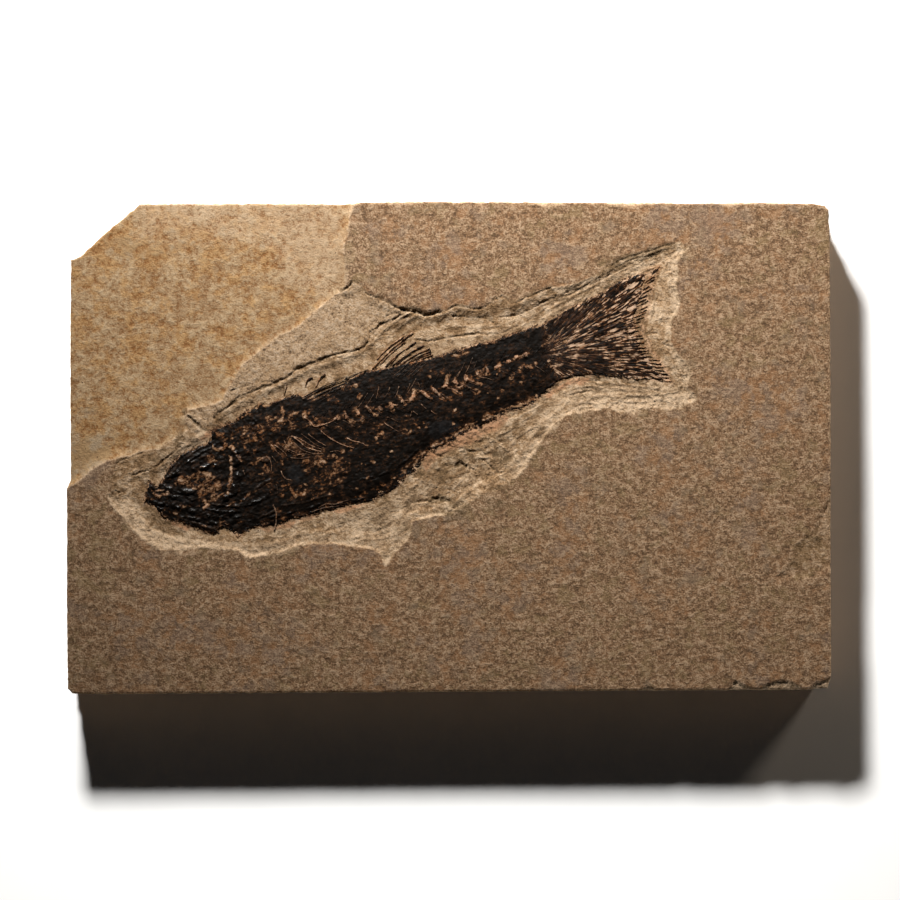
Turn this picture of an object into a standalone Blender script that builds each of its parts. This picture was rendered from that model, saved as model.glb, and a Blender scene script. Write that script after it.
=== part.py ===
"""A herring-like fossil fish lying in the trough that was cleared round it in a slab of split limestone.

The slab lies flat with its split face up. Metres, +Z up, origin at the middle of the slab's underside.
Outlines are drawn on a plan seen from above, in plan units: U runs right and V runs down the plan.
"""

import math

import bmesh
import bpy
import numpy as np
from mathutils import Vector
from mathutils.geometry import delaunay_2d_cdt

MM = 0.001

# Driving sizes
SLAB_LENGTH = 195.0 * MM
SLAB_THICKNESS = 14.0 * MM
PLAN_LENGTH = 765.0
UNIT = SLAB_LENGTH / PLAN_LENGTH
PLAN_CENTRE_U = 449.0
PLAN_CENTRE_V = 448.0
GAP = 0.32 * MM

# Drops from one bedding layer to the next, counted from the brown split face
BROWN_LAYER = 0.50 * MM
TAN_LAYER = 0.45 * MM
TROUGH_LAYER = 0.55 * MM
FLOOR_LAYER = 0.70 * MM
CORNER_FLAKE = 0.30 * MM
EDGE_CHIP = 1.10 * MM

# Heights on the fish, above its own underside
FISH_EDGE = 0.40 * MM
FISH_CROWN = 1.15 * MM
FISH_CROWN_WIDTH = 4.0 * MM
TAIL_HEIGHT = 0.62 * MM
TAIL_RAY_RELIEF = 0.16 * MM
GROOVE_FLOOR = 0.28 * MM
GROOVE_HALF_WIDTH = 1.05 * MM
GROOVE_LIP = 0.12 * MM

# Bones
VERTEBRA_COUNT = 20
VERTEBRA_END_HALF_WIDTH = 0.68 * MM
VERTEBRA_WAIST_HALF_WIDTH = 0.36 * MM
VERTEBRA_TOP = 0.78 * MM
VERTEBRA_END_RISE = 0.22 * MM
TAIL_RAY_COUNT = 20
DORSAL_THICKNESS = 0.55 * MM
SPINE_THICKNESS = 0.50 * MM

# Mesh spacing
OUTLINE_STEP = 5.0 * MM
LEDGE_STEP = 2.4 * MM
SLAB_GRID = 8.0 * MM
FISH_GRID = 1.8 * MM
FISH_OUTLINE_STEP = 2.2 * MM
BONE_STEP = 1.5 * MM
RAY_STEP = 1.2 * MM

STONE_COLOUR = (0.30, 0.185, 0.105)
FOSSIL_COLOUR = (0.028, 0.021, 0.016)
BONE_COLOUR = (0.36, 0.17, 0.085)

# The slab seen from above, with its broken corner first
SLAB_OUTLINE = [
    (70, 259.5), (80, 256), (88, 248), (100, 237.5), (112, 226.5), (121, 219.5), (130, 211), (139, 203.5),
    (250, 203), (352, 203), (360, 201.5), (560, 202), (700, 203), (815, 203), (825, 205.5), (829.5, 211),
    (830.5, 300), (831, 480), (831.5, 600), (831.5, 676), (828, 689), (700, 690.5), (500, 691.5),
    (300, 693), (100, 694.5), (72, 694), (67.5, 688), (66.5, 600), (66.5, 488), (70, 480), (69.5, 380),
    (70, 262),
]

# Ledges: each point is U, V and the width of the wall below it
BROWN_RIM = [
    (366, 190, 3), (358, 201, 3), (351, 212, 3), (349, 225, 3), (347, 238, 3), (343, 249, 3),
    (345, 268, 3), (346, 286, 3), (354, 282, 2), (368, 292, 2), (382, 300, 2), (398, 307, 2),
    (412, 310, 2), (427, 314, 2), (441, 310, 2), (455, 304, 2), (478, 308, 2), (490, 302, 2),
    (501, 295, 2), (512, 303, 2), (525, 296, 2), (548, 287, 2), (570, 283, 3), (592, 273, 3),
    (612, 263, 2), (632, 253, 2), (655, 247, 2), (680, 241, 2), (691, 246, 6), (684, 255, 9),
    (679, 268, 11), (679, 285, 11), (680, 300, 11), (675, 318, 9), (671, 340, 6), (680, 354, 8),
    (690, 368, 9), (690, 387, 6), (698, 400, 9), (681, 410, 14), (655, 410, 15), (634, 416, 16),
    (612, 410, 14), (592, 411, 10), (566, 417, 7), (553, 428, 7), (540, 440, 6), (530, 459, 8),
    (518, 478, 12), (504, 488, 12), (480, 497, 8), (466, 511, 6), (440, 519, 6), (412, 524, 6),
    (409, 539, 6), (396, 553, 6), (386, 565, 6), (375, 551, 6), (350, 548, 6), (325, 543, 6),
    (300, 547, 6), (275, 555, 8), (251, 559, 9), (238, 551, 8), (212, 549, 8), (185, 550, 9),
    (166, 551, 12), (147, 543, 13), (128, 525, 13), (110, 507, 12), (108, 495, 7), (113, 475, 3),
    (120, 458, 2), (104, 463, 3), (88, 473, 3), (66, 490, 3), (48, 502, 3), (48, 190, 3),
]
TAN_RIM = [
    (358, 190, 3), (353, 208, 3), (349, 225, 3), (347, 238, 3), (342, 249, 3), (344, 268, 3),
    (345, 288, 3), (325, 303, 3), (308, 317, 3), (290, 331, 3), (270, 343, 3), (252, 357, 3),
    (241, 366, 3), (236, 377, 3), (224, 397, 3), (211, 405, 3), (188, 410, 2), (185, 421, 2),
    (186, 432, 2), (168, 443, 2), (152, 450, 2), (130, 456, 2), (104, 463, 3), (88, 473, 3),
    (66, 490, 3), (48, 502, 3), (48, 190, 3),
]
TROUGH_RIM = [
    (203, 430, 2), (215, 417, 3), (240, 398, 3), (260, 389, 3), (290, 377, 3), (320, 362, 3),
    (345, 354, 3), (363, 346, 3), (372, 333, 3), (390, 321, 3), (414, 314, 3), (428, 318, 3),
    (445, 315, 3), (456, 310, 3), (478, 313, 3), (500, 307, 3), (515, 308, 3), (540, 298, 3),
    (566, 290, 3), (592, 281, 3), (614, 270, 3), (640, 258, 3), (664, 252, 3), (675, 253, 4),
    (668, 272, 4), (668, 300, 4), (664, 322, 4), (664, 342, 4), (674, 360, 4), (680, 374, 4),
    (680, 387, 4), (668, 394, 6), (640, 396, 6), (610, 395, 6), (585, 401, 6), (560, 408, 6),
    (546, 420, 5), (532, 434, 5), (522, 452, 5), (506, 470, 8), (480, 484, 8), (456, 500, 6),
    (430, 508, 6), (404, 516, 5), (396, 533, 5), (385, 546, 4), (372, 540, 4), (345, 536, 5),
    (320, 532, 5), (296, 536, 5), (272, 543, 5), (250, 547, 5), (236, 541, 5), (210, 539, 5),
    (180, 539, 6), (158, 533, 6), (142, 522, 6), (126, 508, 6), (119, 496, 4), (120, 480, 3),
    (128, 471, 3), (150, 467, 3), (166, 458, 3), (182, 444, 3), (193, 437, 2), (191, 429, 2),
]
FLOOR_RIM = [
    (196, 437, 2), (204, 427, 2), (222, 417, 2), (240, 405, 2), (262, 392, 3), (280, 384, 3),
    (289, 377.5, 3), (320, 366, 3), (350, 358, 3), (366, 350, 3), (380, 334, 3), (400, 322, 3),
    (418, 322, 3), (423, 336, 3), (445, 338, 3), (470, 334, 3), (500, 331, 3), (520, 322, 3),
    (543, 311, 3), (566, 299, 3), (590, 288, 3), (612, 277, 3), (634, 266, 3), (656, 258, 3),
    (668, 258, 3), (668, 270, 3), (660, 290, 3), (656, 310, 3), (654, 326, 3), (659, 340, 3),
    (668, 354, 3), (676, 370, 3), (681, 385, 3), (672, 390, 4), (645, 388, 4), (615, 385, 4),
    (590, 387, 4), (570, 392, 4), (552, 402, 4), (535, 413, 4), (516, 421, 4), (502, 428, 4),
    (494, 440, 4), (470, 450, 4), (446, 462, 4), (434, 474, 4), (416, 488, 4), (400, 500, 4),
    (382, 506, 4), (360, 511, 4), (336, 518, 4), (310, 526, 4), (284, 533, 4), (260, 536, 4),
    (240, 544, 4), (222, 538, 4), (210, 541, 4), (188, 535, 4), (165, 528, 4), (150, 517, 4),
    (138, 508, 4), (136, 494, 3), (141, 480, 3), (154, 475, 3), (163, 462, 3), (178, 449, 3),
]
FLAKE_RIM = [
    (845, 496, 3), (829, 502, 3), (820, 524, 3), (806, 534, 8), (793, 546, 8), (790, 562, 9),
    (774, 574, 9), (762, 590, 7), (782, 582, 3), (806, 577, 3), (824, 571, 3), (845, 566, 3),
]
CHIP_RIMS = [
    [(730, 705, 2), (730, 690, 2), (737, 681, 2), (746, 684, 2), (755, 689, 2), (758, 705, 2)],
    [(758, 705, 2), (763, 687, 2), (772, 682, 2), (784, 680, 2), (794, 682, 2), (802, 689, 2), (806, 705, 2)],
    [(808, 705, 2), (812, 686, 2), (820, 681, 2), (828, 679, 2), (845, 676, 2), (845, 705, 2)],
    [(640, 705, 2), (641, 689, 2), (648, 686, 2), (656, 690, 2), (657, 705, 2)],
    [(600, 188, 4), (602, 203, 4), (618, 206, 4), (632, 208, 4), (645, 203, 4), (646, 188, 4)],
    [(716, 188, 4), (718, 204, 4), (730, 208, 4), (742, 204, 4), (744, 188, 4)],
    [(528, 188, 4), (532, 204, 4), (552, 207, 4), (568, 203, 4), (570, 188, 4)],
]

# The fish: back from snout to tail, then belly from tail to snout
FISH_BACK = [
    (150, 483), (156, 488), (162, 482), (167, 472), (175, 460), (188, 449), (200, 440), (209, 428),
    (226, 425), (240, 416), (256, 407), (272, 403), (288, 396), (310, 391), (330, 384), (350, 377),
    (372, 370), (395, 366), (420, 361), (440, 357), (462, 350), (480, 344), (505, 337), (525, 330),
    (545, 324), (567, 311), (588, 300), (610, 288), (630, 277),
]
FISH_BELLY = [
    (645, 379), (620, 376), (590, 374), (568, 377), (551, 386), (533, 401), (512, 410), (490, 420),
    (462, 431), (447, 442), (428, 453), (418, 465), (402, 481), (385, 493), (368, 500), (340, 506),
    (315, 514), (290, 519), (262, 526), (247, 529), (238, 536), (224, 527), (212, 533), (190, 526),
    (168, 519), (157, 510), (145, 502),
]
TAIL_MARGIN = [
    (660, 266), (653, 282), (649, 300), (644, 316), (643, 328), (650, 343), (656, 355), (665, 368),
    (672, 383),
]
TAIL_ROOT_TOP = (551, 334)
TAIL_ROOT_BOTTOM = (554, 364)
TAIL_HEEL = (545, 358)
TAIL_NOTCH = 4.0

BACKBONE = [(309, 424), (335, 418), (370, 409), (412, 397), (457, 382), (500, 365), (530, 354)]
GROOVE_START = (302, 426)
GROOVE_END = (537, 351)

# Ridges on the fish: path, half width and height
RIBS = [
    [(270, 444), (277, 453), (287, 461), (299, 464)],
    [(279, 440), (286, 450), (299, 456), (313, 457)],
    [(290, 437), (296, 447), (309, 453), (322, 455)],
    [(302, 434), (309, 444), (322, 451), (336, 454)],
    [(322, 432), (332, 441), (345, 447), (358, 450)],
    [(350, 426), (358, 435), (370, 443), (384, 446)],
    [(384, 418), (394, 427), (408, 434)],
    [(436, 396), (448, 405), (462, 410)],
    [(462, 389), (476, 397), (490, 402)],
]
NEURAL_SPINES = [
    [(348, 386), (342, 404)], [(378, 379), (373, 396)], [(408, 370), (402, 388)],
    [(440, 365), (432, 380)], [(472, 354), (463, 368)],
]
SKULL_BARS = [
    [(170, 470), (184, 457), (204, 442), (228, 431)],
    [(171, 474), (190, 471), (214, 466)],
    [(161, 489), (180, 492), (197, 496)],
    [(156, 505), (180, 514), (206, 522), (230, 527)],
    [(231, 452), (233, 470), (231, 488), (222, 500)],
]
RIB_HALF_WIDTH = 0.45 * MM
RIB_HEIGHT = 0.20 * MM
BAR_HALF_WIDTH = 0.75 * MM
BAR_HEIGHT = 0.28 * MM
GILL_COVER = [
    (239, 452), (254, 446), (268, 452), (277, 465), (280, 480), (276, 495), (265, 506), (251, 508),
    (241, 499), (238, 476),
]
GILL_COVER_RISE = 0.30 * MM
EYE_CENTRE = (205, 457)
EYE_RADIUS = 2.3 * MM
EYE_DEPTH = 0.35 * MM

# The dorsal fin: each ray from its foot on the back to its tip
DORSAL_RAYS = [
    [(376, 364), (382, 355), (401, 338)],
    [(381, 364), (389, 354), (413, 332)],
    [(388, 363), (396, 354), (416, 341)],
    [(394, 361), (403, 353), (424, 344)],
    [(401, 360), (411, 353), (430, 348)],
    [(408, 358), (418, 353), (429, 351)],
    [(415, 357), (423, 353.5), (431, 354)],
]
DORSAL_FOOT = [(373, 365.5), (388, 362.5), (403, 359.5), (418, 356)]
DORSAL_RAY_HALF_WIDTH = 0.32 * MM
DORSAL_FOOT_HALF_WIDTH = 0.40 * MM

# Loose bones that lie above the nape
LOOSE_SPINES = {
    "loose_spine_front": [(286.5, 384.5), (285.5, 389), (284, 393)],
    "loose_spine_middle": [(312, 378), (307, 381), (305.5, 385.5)],
    "loose_spine_rear": [(324, 374), (319.5, 378), (316.5, 382)],
}
SPINE_HALF_WIDTH = 0.38 * MM
SPINE_TIP_HALF_WIDTH = 0.16 * MM

# Side walls of the slab: height as a share of the thickness, and how far the band stands in
SIDE_BANDS = [(0.80, 0.05 * MM), (0.70, 0.45 * MM), (0.58, 0.15 * MM), (0.42, 0.60 * MM),
              (0.28, 0.20 * MM), (0.12, 0.70 * MM), (0.0, 0.35 * MM)]


def place(points):
    """Plan points as an array of x, y in metres; a third column, in plan units, becomes metres too."""
    p = np.array(points, float)
    out = p.copy()
    out[:, 0] = (p[:, 0] - PLAN_CENTRE_U) * UNIT
    out[:, 1] = (PLAN_CENTRE_V - p[:, 1]) * UNIT
    if p.shape[1] > 2:
        out[:, 2] = p[:, 2] * UNIT
    return out


def resample(line, step, closed=False):
    """The line with points added so that no stretch is longer than step. Its corners stay."""
    ends = np.roll(line, -1, 0) if closed else line[1:]
    out = []
    for a, b in zip(line, ends):
        count = max(1, math.ceil(np.linalg.norm(b[:2] - a[:2]) / step))
        out += [a + (b - a) * k / count for k in range(count)]
    if not closed:
        out.append(line[-1])
    return np.array(out)


def smooth(line, step):
    """A smooth curve through the points, read off about every step."""
    padded = np.vstack([2 * line[0] - line[1], line, 2 * line[-1] - line[-2]])
    out = []
    for k in range(len(line) - 1):
        a, b, c, d = padded[k : k + 4]
        count = max(1, round(np.linalg.norm(c - b) / step))
        for t in np.arange(count) / count:
            out.append(0.5 * (2 * b + (c - a) * t + (2 * a - 5 * b + 4 * c - d) * t**2
                              + (3 * b - a - 3 * c + d) * t**3))
    return np.array(out + [line[-1]])


def side_line(line, distance):
    """The open line moved sideways, to its left for a positive distance."""
    along = np.gradient(line[:, :2], axis=0)
    along /= np.linalg.norm(along, axis=1)[:, None]
    return line[:, :2] + distance * np.stack([-along[:, 1], along[:, 0]], 1)


def nearest(p, line, closed=False):
    """Distance from each point to the line, and the line's further columns at the nearest place."""
    a = line
    b = np.roll(line, -1, 0) if closed else line[1:]
    a = a[: len(b)]
    best = np.full(len(p), np.inf)
    extra = np.zeros((len(p), line.shape[1] - 2))
    for s, e in zip(a, b):
        d = e[:2] - s[:2]
        t = np.clip(((p - s[:2]) @ d) / max(d @ d, 1e-18), 0, 1)
        away = np.linalg.norm(p - s[:2] - t[:, None] * d, axis=1)
        closer = away < best
        best[closer] = away[closer]
        extra[closer] = s[2:] + t[closer, None] * (e[2:] - s[2:])
    return best, extra


def inside(p, loop):
    """Whether each point lies inside the closed loop."""
    within = np.zeros(len(p), bool)
    for a, b in zip(loop, np.roll(loop, -1, 0)):
        if a[1] == b[1]:
            continue
        spans = (p[:, 1] < a[1]) != (p[:, 1] < b[1])
        crossing = a[0] + (p[:, 1] - a[1]) * (b[0] - a[0]) / (b[1] - a[1])
        within ^= spans & (p[:, 0] < crossing)
    return within


def hex_grid(loop, step):
    """Points in rows with a half-step shift, over the loop's box, kept where they lie inside it."""
    low, high = loop[:, :2].min(0), loop[:, :2].max(0)
    rows = []
    for k, y in enumerate(np.arange(low[1] + step / 2, high[1], step * math.sqrt(0.75))):
        xs = np.arange(low[0] + step * (0.25 + 0.5 * (k % 2)), high[0], step)
        rows.append(np.stack([xs, np.full(len(xs), y)], 1))
    grid = np.vstack(rows)
    return grid[inside(grid, loop)]


def triangulate(loops, lines, grid):
    """Triangles that fill the loops, with an edge along every loop and line."""
    points, edges, faces = [], [], []
    for line in lines:
        start = len(points)
        points += list(line[:, :2])
        edges += [(k, k + 1) for k in range(start, len(points) - 1)]
    for loop in loops:
        start = len(points)
        x, y = loop[:, 0], loop[:, 1]
        turns_left = x @ np.roll(y, -1) > y @ np.roll(x, -1)
        points += list(loop[:, :2] if turns_left else loop[::-1, :2])
        faces.append(list(range(start, len(points))))
    points += list(grid)
    # Worked in millimetres, so that the tolerance is a small share of the smallest edge.
    flat = [Vector(q / MM) for q in points]
    verts, _, tris, _, _, owners = delaunay_2d_cdt(flat, edges, faces, 1, 1e-3)
    kept = [tri for tri, owner in zip(tris, owners) if owner]
    return np.array([(v.x, v.y) for v in verts]) * MM, kept


def clear_of(grid, lines, distance):
    """Grid points that are not too close to any of the lines."""
    keep = np.ones(len(grid), bool)
    for line in lines:
        keep &= nearest(grid, line[:, :2])[0] > distance
    return grid[keep]


def boundary_loops(bm):
    """The open borders of the mesh as ordered lists of vertices, each with the mesh on its left."""
    follow = {}
    for face in bm.faces:
        for loop in face.loops:
            if loop.edge.is_boundary:
                follow[loop.vert] = loop.link_loop_next.vert
    loops = []
    while follow:
        vert, run = next(iter(follow)), []
        while vert in follow:
            run.append(vert)
            vert = follow.pop(vert)
        loops.append(run)
    return loops


def wall(bm, upper, lower):
    """Joins two rings of the same length with quads that face away from the mesh on their left."""
    for k in range(len(upper)):
        n = (k + 1) % len(upper)
        bm.faces.new((upper[n], upper[k], lower[k], lower[n]))


def relief_solid(name, loops, lines, grid, height, floor, material, bands=()):
    """A closed solid: its top follows height over the loops, its walls drop to a flat floor."""
    flat, tris = triangulate(loops, lines, grid)
    z = height(flat)
    bm = bmesh.new()
    verts = [bm.verts.new((x, y, h)) for (x, y), h in zip(flat, z)]
    for tri in tris:
        corners = [verts[k] for k in tri]
        if (flat[tri[1]][0] - flat[tri[0]][0]) * (flat[tri[2]][1] - flat[tri[0]][1]) < (
            flat[tri[1]][1] - flat[tri[0]][1]
        ) * (flat[tri[2]][0] - flat[tri[0]][0]):
            corners.reverse()
        bm.faces.new(corners)
    for vert in [v for v in bm.verts if not v.link_faces]:
        bm.verts.remove(vert)
    floor_edges = []
    for ring in boundary_loops(bm):
        rim = np.array([v.co[:2] for v in ring])
        along = np.roll(rim, -1, 0) - np.roll(rim, 1, 0)
        inward = np.stack([-along[:, 1], along[:, 0]], 1)
        inward /= np.linalg.norm(inward, axis=1)[:, None]
        for level, inset in [*bands, (0.0, 0.0)][: len(bands) or 1]:
            at = rim + inset * inward
            below = [bm.verts.new((x, y, floor + level)) for x, y in at]
            wall(bm, ring, below)
            ring = below
        floor_edges += [bm.edges.get((ring[k - 1], ring[k])) for k in range(len(ring))]
    bmesh.ops.triangle_fill(bm, use_beauty=True, edges=floor_edges)
    bmesh.ops.triangulate(bm, faces=bm.faces[:])
    bmesh.ops.recalc_face_normals(bm, faces=bm.faces[:])
    mesh = bpy.data.meshes.new(name)
    bm.to_mesh(mesh)
    bm.free()
    mesh.materials.append(material)
    made = bpy.data.objects.new(name, mesh)
    bpy.context.scene.collection.objects.link(made)
    return made


def finish(name, colour, roughness, metallic=0.0):
    """A plain material with the piece's colour."""
    made = bpy.data.materials.new(name)
    made.use_nodes = True
    shader = made.node_tree.nodes["Principled BSDF"]
    shader.inputs["Base Color"].default_value = (*colour, 1.0)
    shader.inputs["Roughness"].default_value = roughness
    shader.inputs["Metallic"].default_value = metallic
    return made


LEDGES = [(place(BROWN_RIM), BROWN_LAYER), (place(TAN_RIM), TAN_LAYER), (place(TROUGH_RIM), TROUGH_LAYER),
          (place(FLOOR_RIM), FLOOR_LAYER), (place(FLAKE_RIM), CORNER_FLAKE)]
LEDGES += [(place(rim), EDGE_CHIP) for rim in CHIP_RIMS]


def ground(p):
    """Height of the slab's split face above its underside."""
    z = np.full(len(p), SLAB_THICKNESS)
    for rim, drop in LEDGES:
        away, width = nearest(p, rim, closed=True)
        z -= drop * np.where(inside(p, rim), np.clip(away / width[:, 0], 0, 1), 0)
    return z


def foot_line(rim):
    """The line where a ledge's wall meets the layer below it."""
    line = resample(rim, LEDGE_STEP, closed=True)
    along = np.roll(line, -1, 0)[:, :2] - np.roll(line, 1, 0)[:, :2]
    across = np.stack([along[:, 1], -along[:, 0]], 1)
    across /= np.linalg.norm(across, axis=1)[:, None]
    foot = line[:, :2] + across * line[:, 2:3]
    return np.vstack([foot, foot[:1]])


def stone_slab(material):
    outline = resample(place(SLAB_OUTLINE), OUTLINE_STEP, closed=True)
    lines = []
    for rim, _ in LEDGES:
        line = resample(rim, LEDGE_STEP, closed=True)
        lines += [np.vstack([line, line[:1]])[:, :2], foot_line(rim)]
    grid = clear_of(hex_grid(outline, SLAB_GRID), lines, SLAB_GRID / 3)
    bands = [(share * SLAB_THICKNESS, inset) for share, inset in SIDE_BANDS]
    return relief_solid("stone_slab", [outline], lines, grid, ground, 0.0, material, bands)


def tail_tips():
    """Tips of the tail rays, evenly spaced down the tail's rear margin."""
    margin = place(TAIL_MARGIN)
    run = np.concatenate([[0], np.cumsum(np.linalg.norm(np.diff(margin, axis=0), axis=1))])
    at = np.linspace(0, run[-1], TAIL_RAY_COUNT)
    return np.stack([np.interp(at, run, margin[:, k]) for k in (0, 1)], 1)


def tail_lines():
    """Crest of every tail ray, and the valley between each pair, from the root to the margin."""
    tips = tail_tips()
    top, bottom, heel = place([TAIL_ROOT_TOP, TAIL_ROOT_BOTTOM, TAIL_HEEL])
    share = np.linspace(0, 1, TAIL_RAY_COUNT)[:, None]
    roots = top + (bottom - top) * share
    crests = [np.array([root, tip]) for root, tip in zip(roots, tips)]
    valleys = []
    for k in range(TAIL_RAY_COUNT - 1):
        middle = (tips[k] + tips[k + 1]) / 2
        back = heel - middle
        notch = middle + back / np.linalg.norm(back) * TAIL_NOTCH * UNIT
        valleys.append(np.array([(roots[k] + roots[k + 1]) / 2, notch]))
    return crests, valleys


def fish_outline():
    """Back, tail margin with a notch between every two rays, and belly."""
    crests, valleys = tail_lines()
    margin = [crests[0][1]]
    for crest, valley in zip(crests[1:], valleys):
        margin += [valley[1], crest[1]]
    return np.vstack([place(FISH_BACK), margin, place(FISH_BELLY)])


def fish_base():
    """Height of the fish's underside: just clear of the highest stone under it."""
    under = [resample(fish_outline(), 1.0 * MM, closed=True), resample(place(DORSAL_FOOT), 1.0 * MM)]
    under += [place(path) for path in [*DORSAL_RAYS, *LOOSE_SPINES.values()]]
    return ground(np.vstack(under)).max() + GAP


def backbone_line():
    return smooth(place(BACKBONE), 0.5 * MM)


def groove_line():
    return smooth(place([GROOVE_START, *BACKBONE[1:-1], GROOVE_END]), BONE_STEP)


def ridge(p, path, half_width, height):
    """A ridge with a sharp crest along the path."""
    return height * np.clip(1 - nearest(p, path)[0] / half_width, 0, 1)


def fish_height(p, base):
    outline = fish_outline()
    edge = nearest(p, outline, closed=True)[0]
    crown = np.clip(edge / FISH_CROWN_WIDTH, 0, 1)
    z = FISH_EDGE + (FISH_CROWN - FISH_EDGE) * np.sin(crown * math.pi / 2)
    # The tail is thinner than the trunk, and ribbed by its rays.
    crests, valleys = tail_lines()
    root = place([TAIL_ROOT_TOP])[0, 0]
    on_tail = np.clip((p[:, 0] - root) / (6 * MM), 0, 1)
    to_crest = np.min([nearest(p, c)[0] for c in crests], 0)
    to_valley = np.min([nearest(p, v)[0] for v in valleys], 0)
    ribbing = TAIL_RAY_RELIEF * (to_valley - to_crest) / np.maximum(to_valley + to_crest, 1e-6)
    z = z * (1 - on_tail) + (np.minimum(z, TAIL_HEIGHT) + ribbing) * on_tail
    for path in [*RIBS, *NEURAL_SPINES]:
        z += ridge(p, smooth(place(path), BONE_STEP), RIB_HALF_WIDTH, RIB_HEIGHT)
    for path in SKULL_BARS:
        z += ridge(p, smooth(place(path), BONE_STEP), BAR_HALF_WIDTH, BAR_HEIGHT)
    cover = place(GILL_COVER)
    bulge = np.where(inside(p, cover), nearest(p, cover, closed=True)[0], 0)
    z += GILL_COVER_RISE * np.clip(bulge / (0.8 * MM), 0, 1)
    eye = np.linalg.norm(p - place([EYE_CENTRE])[0], axis=1)
    z -= EYE_DEPTH * np.clip((EYE_RADIUS - eye) / (0.8 * MM), 0, 1)
    # The backbone's bed
    bed = np.clip((GROOVE_HALF_WIDTH + GROOVE_LIP - nearest(p, groove_line())[0]) / GROOVE_LIP, 0, 1)
    z = z * (1 - bed) + GROOVE_FLOOR * bed
    return base + np.maximum(z, 0.2 * MM)


def groove_edges():
    """Closed lines round the foot and the lip of the backbone's bed."""
    line = groove_line()
    edges = []
    for half in (GROOVE_HALF_WIDTH, GROOVE_HALF_WIDTH + GROOVE_LIP):
        left, right = side_line(line, half), side_line(line, -half)
        ahead = line[-1] + (line[-1] - line[-2]) / np.linalg.norm(line[-1] - line[-2]) * half
        behind = line[0] - (line[1] - line[0]) / np.linalg.norm(line[1] - line[0]) * half
        edges.append(np.vstack([left, ahead, right[::-1], behind, left[:1]]))
    return edges


def fish_body(material, base):
    outline = resample(fish_outline(), FISH_OUTLINE_STEP, closed=True)
    crests, valleys = tail_lines()
    lines = [line[:, :2] for line in crests + valleys]
    for path in [*RIBS, *NEURAL_SPINES]:
        line = smooth(place(path), BONE_STEP)
        lines += [line, side_line(line, RIB_HALF_WIDTH), side_line(line, -RIB_HALF_WIDTH)]
    for path in SKULL_BARS:
        line = smooth(place(path), BONE_STEP)
        lines += [line, side_line(line, BAR_HALF_WIDTH), side_line(line, -BAR_HALF_WIDTH)]
    cover = place([*GILL_COVER, GILL_COVER[0]])
    turn = np.linspace(0, 2 * math.pi, 15)[:, None]
    eye = place([EYE_CENTRE]) + EYE_RADIUS * np.hstack([np.cos(turn), np.sin(turn)])
    lines += [cover, eye, *groove_edges()]
    grid = clear_of(hex_grid(outline, FISH_GRID), [*lines, outline], FISH_GRID / 4)
    return relief_solid("fish_body", [outline], lines, grid, lambda p: fish_height(p, base), base, material)


def backbone(material, base):
    """The row of vertebrae: each is wide at both ends and narrow at its waist."""
    line = backbone_line()
    run = np.concatenate([[0], np.cumsum(np.linalg.norm(np.diff(line, axis=0), axis=1))])
    joints = 2 * VERTEBRA_COUNT
    at = np.linspace(0, run[-1], joints + 1)
    centre = np.stack([np.interp(at, run, line[:, k]) for k in (0, 1)], 1)
    half = np.where(np.arange(joints + 1) % 2 == 0, VERTEBRA_END_HALF_WIDTH, VERTEBRA_WAIST_HALF_WIDTH)
    along = np.gradient(centre, axis=0)
    along /= np.linalg.norm(along, axis=1)[:, None]
    across = np.stack([-along[:, 1], along[:, 0]], 1)
    left, right = centre + across * half[:, None], centre - across * half[:, None]
    floor = base + GROOVE_FLOOR + GAP

    def height(p):
        place_along = np.argmin(np.linalg.norm(p[:, None] - centre[None], axis=2), axis=1)
        away = nearest(p, centre)[0]
        rise = np.where(place_along % 2 == 0, VERTEBRA_END_RISE, 0.0)
        return floor + VERTEBRA_TOP - VERTEBRA_END_RISE + rise - 0.35 * away

    lines = [centre] + [np.array([left[k], centre[k], right[k]]) for k in range(joints + 1)]
    return relief_solid("backbone", [np.vstack([left, right[::-1]])], lines, np.zeros((0, 2)), height,
                        floor, material)


def tapered(path, half_width, tip_half_width):
    """Outline of a strip along the path that narrows from foot to tip."""
    line = smooth(place(path), RAY_STEP)
    half = np.linspace(half_width, tip_half_width, len(line))[:, None]
    along = np.gradient(line, axis=0)
    along /= np.linalg.norm(along, axis=1)[:, None]
    across = np.stack([-along[:, 1], along[:, 0]], 1)
    return np.vstack([line + across * half, (line - across * half)[::-1]]), line


def dorsal_fin(material, base):
    """A fan of rays that grow from one foot strip along the back."""
    parts = [tapered(path, DORSAL_RAY_HALF_WIDTH, DORSAL_RAY_HALF_WIDTH / 2) for path in DORSAL_RAYS]
    parts.append(tapered(DORSAL_FOOT, DORSAL_FOOT_HALF_WIDTH, DORSAL_FOOT_HALF_WIDTH))
    loops, spines = [p[0] for p in parts], [p[1] for p in parts]

    def height(p):
        away = np.min([nearest(p, spine)[0] for spine in spines], 0)
        return base + DORSAL_THICKNESS - 0.6 * np.minimum(away, 0.4 * MM)

    return relief_solid("dorsal_fin", loops, spines, np.zeros((0, 2)), height, base, material)


def loose_spine(name, path, material, base):
    loop, spine = tapered(path, SPINE_HALF_WIDTH, SPINE_TIP_HALF_WIDTH)

    def height(p):
        return base + SPINE_THICKNESS - 0.6 * nearest(p, spine)[0]

    return relief_solid(name, [loop], [spine], np.zeros((0, 2)), height, base, material)


def main():
    for old in list(bpy.data.objects):
        bpy.data.objects.remove(old)
    stone = finish("limestone", STONE_COLOUR, 0.9)
    fossil = finish("fossil_black", FOSSIL_COLOUR, 0.45)
    bone = finish("fossil_bone", BONE_COLOUR, 0.6)
    base = fish_base()
    stone_slab(stone)
    fish_body(fossil, base)
    backbone(bone, base)
    dorsal_fin(fossil, base)
    for name, path in LOOSE_SPINES.items():
        loose_spine(name, path, fossil, base)


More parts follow.
